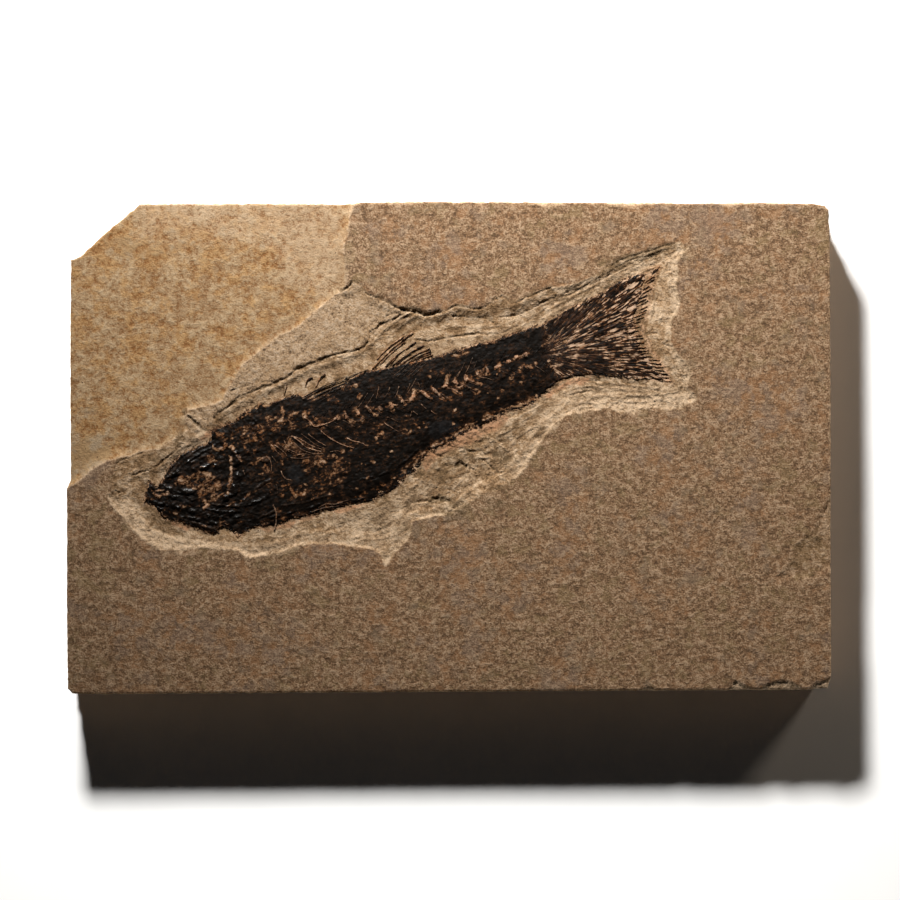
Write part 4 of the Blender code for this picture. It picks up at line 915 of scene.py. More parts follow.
def run_of(line):
    """Distance along the line, at each of its points."""
    return np.concatenate([[0], np.cumsum(np.linalg.norm(np.diff(line, axis=0), axis=1))])


def at_run(where, run, line):
    """The line's x and y at a distance along it."""
    return np.stack([np.interp(where, run, line[:, k]) for k in (0, 1)], -1)


def right_of(line):
    """Unit vectors to the right of the closed line's way, at each of its points."""
    along = np.roll(line, -1, 0) - np.roll(line, 1, 0)
    across = np.stack([along[:, 1], -along[:, 0]], 1)
    return across / np.linalg.norm(across, axis=1)[:, None]


def roughen(line, amount, size, seed, inward=False):
    """The closed outline pushed to and fro across itself; inward keeps it inside its old place."""
    push = noise(line, size, seed) * amount
    if inward:
        push = np.abs(push)
    return line + right_of(line) * push[:, None]


def tiles(p):
    """Groups of the points that share a square tile, and the middle of each tile."""
    if LAST_TILES.get("points") is not p:
        cell = np.floor(p / TILE).astype(int) + TILE_ROW // 2
        keys, group = np.unique(cell[:, 0] * TILE_ROW + cell[:, 1], return_inverse=True)
        order = np.argsort(group, kind="stable")
        cuts = np.cumsum(np.bincount(group, minlength=len(keys)))[:-1]
        corner = np.stack([keys // TILE_ROW, keys % TILE_ROW], 1) - TILE_ROW // 2
        LAST_TILES.update(points=p, result=((corner + 0.5) * TILE, np.split(order, cuts), group))
    return LAST_TILES["result"]


def segment_distance(p, start, run):
    """Distances from every point to every segment, and how far along each segment they fall."""
    away = p[:, None, :] - start[None, :, :2]
    along = np.einsum("pst,st->ps", away, run[:, :2])
    along = np.clip(along / np.maximum(np.einsum("st,st->s", run[:, :2], run[:, :2]), 1e-18), 0, 1)
    away -= along[..., None] * run[None, :, :2]
    return np.hypot(away[..., 0], away[..., 1]), along


def nearest(p, line, closed=False):
    """Distance from each point to the line, and the line's further columns at the nearest place."""
    stop = np.roll(line, -1, 0) if closed else line[1:]
    start = line[: len(stop)]
    run = stop - start
    best = np.zeros(len(p))
    extra = np.zeros((len(p), line.shape[1] - 2))
    centres, members, _ = tiles(p)
    from_centre = segment_distance(centres, start, run)[0]
    reach = from_centre.min(1) + 2 * TILE_RADIUS
    for own, near in zip(members, from_centre <= reach[:, None]):
        away, along = segment_distance(p[own], start[near], run[near])
        pick = away.argmin(1)
        row = np.arange(len(own))
        best[own] = away[row, pick]
        if extra.shape[1]:
            extra[own] = start[near][pick, 2:] + along[row, pick, None] * run[near][pick, 2:]
    return best, extra


def inside(p, loop):
    """Whether each point lies inside the closed loop."""
    within = np.zeros(len(p), bool)
    for a, b in zip(loop, np.roll(loop, -1, 0)):
        if a[1] == b[1]:
            continue
        spans = (p[:, 1] < a[1]) != (p[:, 1] < b[1])
        crossing = a[0] + (p[:, 1] - a[1]) * (b[0] - a[0]) / (b[1] - a[1])
        within ^= spans & (p[:, 0] < crossing)
    return within


def depth_in(p, loop):
    """Distance inside the loop, negative outside it."""
    away, extra = nearest(p, loop, closed=True)
    centres, _, group = tiles(p)
    within = inside(centres, loop)[group]
    # Only a point close to the loop can be on the other side of it than the middle of its tile.
    close = away < TILE_RADIUS
    within[close] = inside(p[close], loop)
    return np.where(within, away, -away), extra


def hex_grid(low, high, step, seed):
    """Points in rows with a half-step shift over a box, each a little off its place."""
    rows = []
    for k, y in enumerate(np.arange(low[1] + step / 2, high[1], step * math.sqrt(0.75))):
        xs = np.arange(low[0] + step * (0.25 + 0.5 * (k % 2)), high[0], step)
        rows.append(np.stack([xs, np.full(len(xs), y)], 1))
    grid = np.vstack(rows)
    return grid + np.random.default_rng(SEED + seed).uniform(-0.2, 0.2, grid.shape) * step


def triangulate(loops, grid):
    """Triangles that fill the loops, with an edge along every loop."""
    points, faces = [], []
    for loop in loops:
        start = len(points)
        x, y = loop[:, 0], loop[:, 1]
        turns_left = x @ np.roll(y, -1) > y @ np.roll(x, -1)
        points += list(loop[:, :2] if turns_left else loop[::-1, :2])
        faces.append(list(range(start, len(points))))
    points += list(grid)
    # Worked in millimetres, so that the tolerance is a small share of the smallest edge.
    flat = [Vector(q / MM) for q in points]
    verts, _, tris, _, _, owners = delaunay_2d_cdt(flat, [], faces, 1, 1e-4)
    at = np.array([(v.x, v.y) for v in verts]) * MM
    tri = np.array([t for t, owner in zip(tris, owners) if owner and len(t) == 3])
    one, two = at[tri[:, 1]] - at[tri[:, 0]], at[tri[:, 2]] - at[tri[:, 0]]
    flipped = one[:, 0] * two[:, 1] < one[:, 1] * two[:, 0]
    tri[flipped] = tri[flipped][:, ::-1]
    used, tri = np.unique(tri, return_inverse=True)
    return at[used], tri.reshape(-1, 3)


def borders(tri):
    """The open borders of the triangles, each an ordered list with the triangles on its left."""
    start = tri.ravel()
    end = np.roll(tri, -1, 1).ravel()
    size = int(tri.max()) + 1
    lone = ~np.isin(start * size + end, end * size + start)
    follow = dict(zip(start[lone].tolist(), end[lone].tolist()))
    loops = []
    while follow:
        vert, run = next(iter(follow)), []
        while vert in follow:
            run.append(vert)
            vert = follow.pop(vert)
        loops.append(run)
    return loops


def skirt(upper, lower):
    """Triangles that join an upper ring to a lower one, facing away from the mesh inside them."""
    a, b = np.array(upper), np.roll(upper, -1)
    c, d = np.array(lower), np.roll(lower, -1)
    return np.vstack([np.stack([b, a, c], 1), np.stack([b, c, d], 1)])


def make_mesh(name, verts, faces, material, colours=None, flow=None):
    """An object from arrays, with its masks as named colour attributes."""
    mesh = bpy.data.meshes.new(name)
    mesh.from_pydata(verts.tolist(), [], faces.tolist())
    mesh.validate()
    for key, values in (colours or {}).items():
        layer = mesh.color_attributes.new(key, "FLOAT_COLOR", "POINT")
        full = np.ones((len(verts), 4), np.float32)
        full[:, : values.shape[1]] = np.clip(values, 0, 1)
        layer.data.foreach_set("color", full.ravel())
    if flow is not None:
        layer = mesh.attributes.new("flow", "FLOAT_VECTOR", "POINT")
        layer.data.foreach_set("vector", flow.astype(np.float32).ravel())
    mesh.polygons.foreach_set("use_smooth", np.ones(len(mesh.polygons), bool))
    mesh.materials.append(material)
    made = bpy.data.objects.new(name, mesh)
    bpy.context.scene.collection.objects.link(made)
    return made


def declare(piece, nodes):
    """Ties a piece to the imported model."""
    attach(piece, "root")
    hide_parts(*nodes)


# The stone


def fish_film_outline():
    return place(FISH_BACK + FILM_TAIL + FISH_BELLY)


def fish_full_outline():
    return place(FISH_BACK + TAIL_TIPS + FISH_BELLY)


def sawtooth(x, riser):
    """Shingles: a slow fall and then a quick rise, once for every whole step of x."""
    f = x - np.floor(x)
    return ease((f - 1 + riser) / riser) - f


def stepped(away, width, drop, reach, sudden=0.5):
    """A drop that begins with a steep wall and eases down further over the reach."""
    steep = sudden + (1 - sudden) * np.clip((width - 0.7 * MM) / (1.3 * MM), 0, 1)
    wall = ease(away / np.maximum(0.6 * width, 0.16 * MM))
    return drop * (steep * wall + (1 - steep) * ease(away / reach))


def patches_mask(p, patches, shift, soft):
    """How far each point lies in any of the patches, with a soft, ragged edge."""
    mask = np.zeros(len(p))
    for patch in patches:
        strength, outline = patch if isinstance(patch, tuple) else (1.0, patch)
        mask = np.maximum(mask, strength * ease((depth_in(p, place(outline))[0] + shift) / soft + 0.35))
    return mask


def depth_share(p):
    """Share of the full depth that the trough has: less towards the tail."""
    return 1 - 0.42 * ease((p[:, 0] / plan_unit() + PLAN_CENTRE_U - 500) / 120)


def terrain(p):
    """Height of the split face above the underside, and masks of its layers and marks."""
    sizes = bpy.context.scene.fossil_sizes
    unit = plan_unit()
    broad = noise(p, 3.0 * MM, 1)
    fine = noise(p, 0.9 * MM, 2)
    ragged = 0.14 * MM * broad + 0.13 * MM * fine
    u_of = p[:, 0] / unit + PLAN_CENTRE_U
    v_of = PLAN_CENTRE_V - p[:, 1] / unit

    def rim(outline, wobble=1.0):
        away, width = depth_in(p, place(outline))
        return away + ragged * wobble, width[:, 0]

    # Each rises from 0 at the place named first to 1 at the named distance beyond it.
    def right(u, over):
        return ease((u_of - u) / over)

    def left(u, over):
        return ease((u - u_of) / over)

    def below(v, over):
        return ease((v_of - v) / over)

    def above(v, over):
        return ease((v - v_of) / over)

    brown_away, brown_width = rim(BROWN_RIM)
    wide = ease((brown_width - 0.8 * MM) / (1.0 * MM))
    brown_away += ragged * 1.2 * wide
    tan_away, tan_width = rim(TAN_RIM, 0.8)
    trough_away, trough_width = rim(TROUGH_RIM, 1.6)
    floor_away, floor_width = rim(FLOOR_RIM, 1.8)
    flake_away, flake_width = rim(FLAKE_RIM, 1.5)
    fish_away = -depth_in(p, fish_full_outline())[0]
    plateau_away = depth_in(p, place(PLATEAU))[0] + 0.5 * ragged
    flow = flow_of(p)[0]
    at_plateau = ease(1 - np.abs(plateau_away) / (1.2 * MM)) * right(192, 10)

    axis_v = np.interp(u_of, [u for u, v in AXIS], [v for u, v in AXIS])
    north = above(axis_v, 10)
    soft = ease(1.3 - np.hypot(u_of - SWIRL_FOOT[0], v_of - SWIRL_FOOT[1]) / 26)
    deep = depth_share(p)
    z = np.full(len(p), FACE_LEVEL)
    sudden = (0.5 - 0.22 * north) * (1 - soft)
    steps = stepped(brown_away, brown_width, sizes.brown_drop, 3.0 * MM, sudden)
    steps += stepped(trough_away, trough_width, sizes.trough_drop, 2.6 * MM, 0.45 * at_plateau + 0.12)
    steps += stepped(floor_away, floor_width, sizes.floor_drop, 2.0 * MM, 0.14)
    # Below the head the steps give way to one even slope.
    whole = sizes.brown_drop + sizes.trough_drop + sizes.floor_drop
    slope_width = np.clip(0.85 * (brown_away + fish_away), 0.3 * MM, 4.6 * MM)
    below_head = left(250, 40) * below(493, 14)
    steps += (whole * np.clip(brown_away / slope_width, 0, 1) - steps) * below_head
    z -= deep * steps
    z -= stepped(tan_away, tan_width, sizes.tan_drop, 1.6 * MM)
    z -= stepped(flake_away, flake_width, sizes.flake_drop, 2.0 * MM)

    # Thin laminae run round the trough, between the fish and the brown rim.
    share = fish_away / np.maximum(fish_away + brown_away, 0.1 * MM)
    in_trough = ease(brown_away / (0.8 * MM)) * ease(1 - tan_away / (0.3 * MM))
    near_fish = ease((fish_away - 0.05 * MM) / (0.7 * MM))
    off_plateau = ease(-plateau_away / (0.5 * MM))
    cleared = in_trough * near_fish * off_plateau * (1 - 0.88 * north * left(540, 25))
    tail_part = right(520, 60)
    swirl = right(398, 16) * left(524, 22) * below(424, 14)
    swirl *= in_trough * near_fish
    patchy = np.clip(0.5 + 1.3 * noise(p, 4.5 * MM, 12, 3), 0, 1.6)
    contour = np.stack([flow[:, 0], fish_away], 1)
    layers = share * (6.0 + 4.0 * tail_part) + 2.2 * broad + 0.45 * fine
    z += cleared * patchy * (LAMINA - LAMINA_LESS_IN_SWIRL * swirl) * sawtooth(layers, 0.16)
    thin_layers = share * (16.0 + 10.0 * tail_part) + 3.4 * noise(p, 2.4 * MM, 3)
    z += cleared * (1.4 - 0.6 * patchy) * THIN_LAMINA * sawtooth(thin_layers, 0.25)
    z += cleared * FLOW_LINE * noise(contour, 0.70 * MM, 11, 3, stretch=(8.0, 1.0))
    warped = contour + 0.35 * MM * np.stack([fine, noise(p, 1.8 * MM, 22, 2)], 1)
    streak = noise(warped, 0.42 * MM, 21, 3, stretch=(9.0, 1.0))
    below_belly = below(500, 20) * right(230, 40)
    streaky = in_trough * off_plateau * (0.35 + 0.85 * tail_part + 0.40 * below_belly)
    streaky *= 1 - 0.75 * north * left(540, 25)
    streaky *= 1 - right(652, 8) * above(372, 14)
    streaky *= 1 - 0.7 * tail_part * below(397, 5)
    z += streaky * STREAK * streak

    # Crumbly slopes where the brown layer was broken away
    down = np.clip(brown_away / np.maximum(brown_width, 0.3 * MM), 0, 1.5)
    slope = ease(down / 0.12) * ease((1.35 - down) / 0.45) * wide * (1 - soft)
    slope = slope * (1 - 0.6 * swirl)
    at_ends = 0.5 * right(640, 8) + 0.6 * left(170, 12)
    crumbs = np.clip(slope + in_trough * at_ends, 0, 1)
    z += crumbs * (CRUMB * noise(p, 1.1 * MM, 4, 3) + FINE_CRUMB * noise(p, 0.58 * MM, 5, 2))

    # The pitted, swirling stone under the belly
    folds = noise(p + 0.9 * MM * np.stack([broad, noise(p, 2.4 * MM, 15)], 1), 2.3 * MM, 8, 3)
    z += swirl * FOLD * (0.35 - np.abs(folds))
    z -= swirl * FOLD_PIT * ease((noise(p, 1.3 * MM, 16, 3) - 0.42) / 0.25)

    # Small relief everywhere
    z += FACE_SWELL * noise(p, 6.0 * MM, 6, 3) + FACE_GRAIN * fine * (1 - in_trough)
    z += in_trough * (TROUGH_GRAIN * noise(p, 0.60 * MM, 7, 3) + TROUGH_SWELL * noise(p, 2.6 * MM, 18, 2))
    z += PLATEAU_GRAIN * noise(p, 1.1 * MM, 13, 3) * ease(plateau_away / (0.4 * MM))

    # The cracks' mask darkens the colour later, as dirt and painted shade
    crack_dirt_and_shade = np.zeros(len(p))
    bent = p + 0.18 * MM * np.stack([fine, noise(p, 0.8 * MM, 14)], 1)
    uneven = 1.12 + 0.42 * noise(p, 1.5 * MM, 19, 2)
    for half_width, depth, path in CRACKS:
        away = nearest(bent, smooth(place(path), 1.5 * MM))[0]
        cut = ease(uneven - away / (half_width * unit + 0.08 * MM))
        z -= depth * MM * cut
        crack_dirt_and_shade = np.maximum(crack_dirt_and_shade, cut * min(1.0, 2.2 * depth))
    crest = np.zeros(len(p))
    for half_width, height, path in RIDGES:
        away = nearest(bent, smooth(place(path), 1.5 * MM))[0]
        ridge = ease(1 - away / (half_width * unit)) * (0.75 + 0.5 * fine)
        z += height * MM * ridge
        # The crest is painted pale later, partly as light on ridges that face the lamp
        crest = np.maximum(crest, 0.8 * ridge)

    chip = np.zeros(len(p))
    for drop, outline in EDGE_CHIPS:
        away, width = rim(outline, 0.8)
        down_chip = np.clip(away / np.maximum(width, 0.2 * MM), 0, 1)
        z -= drop * MM * ease(down_chip)
        chip = np.maximum(chip, down_chip)

    # Worn and nicked arris round the split face, deepest along the far side
    edge = nearest(p, place(SLAB_OUTLINE), closed=True)[0]
    far_side = above(212, 6)
    right_side = right(822, 6)
    bites = np.clip(noise(p, 2.2 * MM, 9) + 0.25 * far_side, 0, 1)
    nick = (0.24 + 0.24 * right_side) * MM + (0.42 + 0.40 * far_side) * MM * bites
    arris = np.clip(1 - edge / nick, 0, 1)
    z -= WORN_ARRIS * arris**1.3

    pit = np.clip(noise(p, 1.6 * MM, 10) - 0.62, 0, 1) * (1 - in_trough)
    z -= FACE_PIT * pit

    layer = np.zeros((len(p), 4))
    layer[:, 0] = ease(tan_away / (0.30 * MM) + 0.5)
    layer[:, 1] = ease(plateau_away / (0.35 * MM) + 0.5) * (1 - layer[:, 0])
    blur = 1 + 9 * soft
    layer[:, 2] = ease(brown_away / (0.30 * MM * blur) + 0.35) * (1 - layer[:, 0]) * (1 - layer[:, 1])
    flaked = 0.55 * ease(flake_away / (1.2 * MM) + 0.2) * (1 - below(562, 20))
    # Trough tone on the worn arris; on the right-hand side it is part of a painted highlight
    rim_mask = ease(1.6 * arris) * (0.45 + 0.55 * far_side + 0.55 * right_side)
    layer[:, 2] = np.maximum.reduce([layer[:, 2], flaked, chip, np.clip(rim_mask, 0, 1)])
    layer[:, 3] = ease(1 - fish_away / (1.5 * MM)) * (1 - 0.6 * right(628, 12))
    marks = np.zeros((len(p), 4))
    marks[:, 0] = crack_dirt_and_shade
    # Pale fresh stone on crumbly slopes, chips, ridges, laminae and patches. Part of it is painted light:
    # on slopes and ridge crests that face the lamp, a painted highlight along the yellow layer's rim, and
    # a painted highlight along the right-hand arris.
    fresh_and_painted_light = np.maximum(slope, 0.9 * np.clip(1 - np.abs(tan_away / (0.35 * MM)), 0, 1))
    fresh_and_painted_light = np.maximum.reduce([fresh_and_painted_light, 0.95 * chip, crest, 0.75 * streaky * ease((-0.10 - streak) / 0.32)])
    fresh_and_painted_light = np.maximum(fresh_and_painted_light, 0.9 * right_side * ease(1.6 * arris))
    fresh_and_painted_light = np.maximum(fresh_and_painted_light, 0.55 * patches_mask(p, PALE_CLOUDS, 2.0 * MM * broad, 9.0 * MM))
    broken = in_trough * patches_mask(p, PALE_AND_PAINTED_LIGHT_PATCHES, 0.5 * MM * broad, 1.4 * MM)
    fresh_and_painted_light = np.maximum(fresh_and_painted_light, broken)
    marks[:, 1] = fresh_and_painted_light * (0.55 + 0.45 * ease(0.5 + noise(p, 1.1 * MM, 17, 3)))
    stain = 0.95 * patches_mask(p, RUST_STAINS, 0.5 * MM * broad, 1.0 * MM)
    marks[:, 2] = np.maximum(stain, 0.45 * ease(1 - fish_away / (0.9 * MM)))
    # Painted shade and darker clay, laid later in the olive tone and carried as the alpha of the wear
    # marks: the dark patches, partly painted shade, the clay beside the fish's lower side, and dark
    # streaks along the laminae
    dark = patches_mask(p, SHADE_AND_DARK_PATCHES, 1.0 * MM * broad, 1.6 * MM)
    low_side = ease((v_of - 430 - 0.25 * (400 - u_of)) / 30)
    olive = cleared * low_side * ease((0.62 - share) / 0.25) * (0.5 + 0.5 * ease(0.5 + broad))
    dark_streak = 0.85 * streaky * ease((streak - 0.10) / 0.32)
    shade = np.clip(np.maximum.reduce([dark, 0.6 * olive, dark_streak]), 0, 1)
    marks[:, 3] = 1 - shade * (1 - 0.8 * ease((broken - 0.55) / 0.45))
    return np.minimum(z, CAD_BOX[1][2] - 0.01 * MM), layer, marks


def stone_mesh(material):
    sizes = bpy.context.scene.fossil_sizes
    outline = resample(place(SLAB_OUTLINE), 0.62 * MM, closed=True)
    outline = roughen(outline, 0.20 * MM, 1.5 * MM, 20, inward=True)
    low, high = outline.min(0), outline.max(0)
    brown, tan, fish = place(BROWN_RIM), place(TAN_RIM), fish_film_outline()

    def between_rims(points):
        return inside(points, brown) & ~inside(points, tan)

    trough_grid = hex_grid(low, high, sizes.trough_spacing, 1)
    span = place(TROUGH_ENDS)[:, 0]
    trough_grid = trough_grid[(trough_grid[:, 0] > span[0]) & (trough_grid[:, 0] < span[1])]
    trough_grid = trough_grid[between_rims(trough_grid)]
    trough_grid = trough_grid[depth_in(trough_grid, fish)[0] < 0.7 * MM]

    # A finer strip follows every rim that crosses the flat split face.
    strip_grid = hex_grid(low, high, 1.5 * sizes.trough_spacing, 2)
    strip_grid = strip_grid[~between_rims(strip_grid)]
    near_rim = nearest(strip_grid, brown, closed=True)[0] < 0.50 * MM
    small_rims = [TAN_RIM, FLAKE_RIM, *(chip for _, chip in EDGE_CHIPS)]
    for other in small_rims:
        near_rim |= nearest(strip_grid, place(other), closed=True)[0] < 0.45 * MM
    strip_grid = strip_grid[near_rim]

    face_grid = hex_grid(low, high, sizes.face_spacing, 3)
    face_grid = face_grid[~between_rims(face_grid)]
    for other in [BROWN_RIM, *small_rims]:
        face_grid = face_grid[nearest(face_grid, place(other), closed=True)[0] > 0.7 * MM]
    hidden_grid = hex_grid(low, high, 2.0 * MM, 4)
    hidden_grid = hidden_grid[depth_in(hidden_grid, fish)[0] > 1.2 * MM]

    across = right_of(outline)
    inner = [outline + across * 0.40 * MM, outline + across * 0.80 * MM]
    grid = np.vstack([trough_grid, strip_grid, face_grid, hidden_grid])
    grid = grid[depth_in(grid, outline)[0] > 1.0 * MM]
    grid = np.vstack([grid, *inner])
    grid = grid[inside(grid, outline)]

    flat, tri = triangulate([outline], grid)
    z, layer, marks = terrain(flat)
    verts, faces = [np.column_stack([flat, z])], [tri]
    layers, wears = [layer], [marks]
    ring = borders(tri)[0]
    rim, rim_z = flat[ring], z[ring]
    inward = -right_of(rim)
    around = run_of(rim)
    total, upper = len(flat), ring
    levels = np.linspace(0.96, 0.0, SIDE_RINGS)
    bedding = np.random.default_rng(SEED + 34).uniform(-1, 1, len(levels))
    for k, share in enumerate(levels):
        at = np.stack([around, np.full(len(around), k * 40.0 * MM)], 1)
        bed = 0.30 * MM * (1 + 0.7 * bedding[k] + noise(at, 14 * MM, 30, 2))
        ragged = 0.16 * MM * (1 + noise(at, 1.7 * MM, 31, 4))
        inset = np.clip(bed + ragged, 0.03 * MM, 0.95 * MM) * ease(k / 1.5 + 0.2)
        ring_z = rim_z * share
        if share > 0:
            ring_z = ring_z + 0.10 * MM * noise(at, 3 * MM, 32, 2)
        else:
            inset = inset + 0.25 * MM
        verts.append(np.column_stack([rim + inward * inset[:, None], ring_z]))
        side = np.zeros((len(ring), 4))
        side[:, 2] = 0.35 + 0.35 * bedding[k] + 0.45 * noise(at, 9 * MM, 33, 3)
        layers.append(side)
        wears.append(np.tile([0, 0, 0, 1], (len(ring), 1)))
        lower = list(range(total, total + len(ring)))
        faces.append(skirt(upper, lower))
        total += len(ring)
        upper = lower
    bottom = verts[-1][:, :2]
    under_grid = hex_grid(low, high, 5 * MM, 5)
    under_grid = under_grid[depth_in(under_grid, bottom)[0] > 2 * MM]
    flat_under, tri_under = triangulate([bottom], under_grid)
    verts.append(np.column_stack([flat_under, np.zeros(len(flat_under))]))
    faces.append(tri_under[:, ::-1] + total)
    layers.append(np.zeros((len(flat_under), 4)))
    wears.append(np.tile([0, 0, 0, 1], (len(flat_under), 1)))
    made = make_mesh("slab_stone", np.vstack(verts), np.vstack(faces), material,
                     {"layer": np.vstack(layers), "wear": np.vstack(wears)})
    print("slab triangles", len(made.data.polygons))
    return made


# The fish


def floor_level(p):
    """Height of the trough's floor beside the fish, at every point."""
    sizes = bpy.context.scene.fossil_sizes
    depth = sizes.brown_drop + sizes.trough_drop + sizes.floor_drop
    return FACE_LEVEL - depth * depth_share(p)


def from_heel(p):
    """Distance and angle of each point, seen from the root of the tail."""
    away = p - place([TAIL_HEEL])[0]
    return np.hypot(away[:, 0], away[:, 1]), np.arctan2(away[:, 1], away[:, 0])


def flow_of(p):
    """Place along and across the fish, and the angle on the tail; then how much of a point is tail."""
    axis = place(AXIS)
    run = run_of(axis)
    away, at = nearest(p, np.column_stack([axis, run]))
    heading = at_run(at[:, 0], run, np.gradient(axis, axis=0))
    off = p - at_run(at[:, 0], run, axis)
    side = np.sign(heading[:, 0] * off[:, 1] - heading[:, 1] * off[:, 0])
    reach, angle = from_heel(p)
    on_tail = ease((at[:, 0] - run[TAIL_ROOT]) / (4 * MM) + 0.5)
    along = at[:, 0] * (1 - on_tail) + (reach + run[TAIL_ROOT]) * on_tail
    across = away * side * (1 - on_tail) + angle * 22 * MM * on_tail
    return np.stack([along, across, angle], 1), on_tail


def place_run(u):
    """Run along the axis of the fish, up to the place where it crosses U."""
    axis = place(AXIS)
    return float(np.interp(place([(u, 400)])[0, 0], axis[:, 0], run_of(axis)))


def tail_dashes(p):
    """The broken rays of the tail: above 0 where a ray is kept, below 0 in the gaps between."""
    reach, angle = from_heel(p)
    # The rays branch, so that they stay about as wide all the way out.
    near = noise(np.stack([reach, angle * 11 * MM], 1), 0.38 * MM, 43, 2, stretch=(7.0, 1.0))
    far = noise(np.stack([reach, angle * 31 * MM], 1), 0.34 * MM, 44, 2, stretch=(6.0, 1.0))
    out = ease((reach - 12 * MM) / (12 * MM))
    lobes = ease((np.abs(angle - 0.19) - 0.18) / 0.16)
    clumps = noise(p, 2.6 * MM, 45, 3)
    return near * (1 - out) + far * out + 0.20 + 0.10 * lobes + 0.30 * clumps


def round_ridge(away, half_width):
    return np.sqrt(np.clip(1 - (away / half_width) ** 2, 0, 1))


@functools.cache
def skull_lines():
    """The bones of the skull and the belly as smooth lines, with their sizes and strengths."""
    return [(half_width * MM, height * MM, strength, smooth(place(path), 0.8 * MM))
            for half_width, height, strength, path in SKULL_BONES]


@functools.cache
def worn_lines():
    """The strokes and single flecks of bare bone and rust as lines, with half width and strength."""
    unit = plan_unit()
    lines = [(1.15 * half_width * unit, 0.27 + 0.32 * strength, smooth(place(path), 0.5 * MM))
             for half_width, strength, path in WORN_STROKES]
    for k, (u, v, radius) in enumerate(FLECKS):
        ends = place([(u - 0.3 * radius, v), (u + 0.3 * radius, v + (k % 3 - 1) * 0.3 * radius)])
        lines.append((0.80 * radius * unit, 0.38 + 0.09 * (k * 5 % 4), ends))
    # A rusty bed round every vertebra
    lines.append((2.2 * unit, 0.30, smooth(place(AXIS[FIRST_VERTEBRA:TAIL_ROOT]), 1.0 * MM)))
    lines += [(2.4 * unit, 0.45, place([point[:2] for point in row])) for row in VERTEBRAE]
    return lines


@functools.cache
def fish_raster():
    """Heights of the fish's surface on a square raster, for what lies on it."""
    low, high = place(FISH_BOX)
    xs, ys = np.arange(low[0], high[0], RASTER), np.arange(low[1], high[1], RASTER)
    grid = np.stack(np.meshgrid(xs, ys, indexing="ij"), 2)
    return low, fish_surface(grid.reshape(-1, 2))[0].reshape(len(xs), len(ys))


def surface_at(p):
    """Height of the fish's surface under each point."""
    low, heights = fish_raster()
    q = np.clip((p - low) / RASTER, 0, np.array(heights.shape) - 2)
    i, j = np.floor(q).astype(int).T
    f, g = (q - np.floor(q)).T
    near = heights[i, j] * (1 - f) + heights[i + 1, j] * f
    far = heights[i, j + 1] * (1 - f) + heights[i + 1, j + 1] * f
    return near * (1 - g) + far * g


def boxed(p, line, reach):
    """Which points lie in the line's own box, made larger by reach on every side."""
    return np.all((p > line.min(0) - reach) & (p < line.max(0) + reach), axis=1)


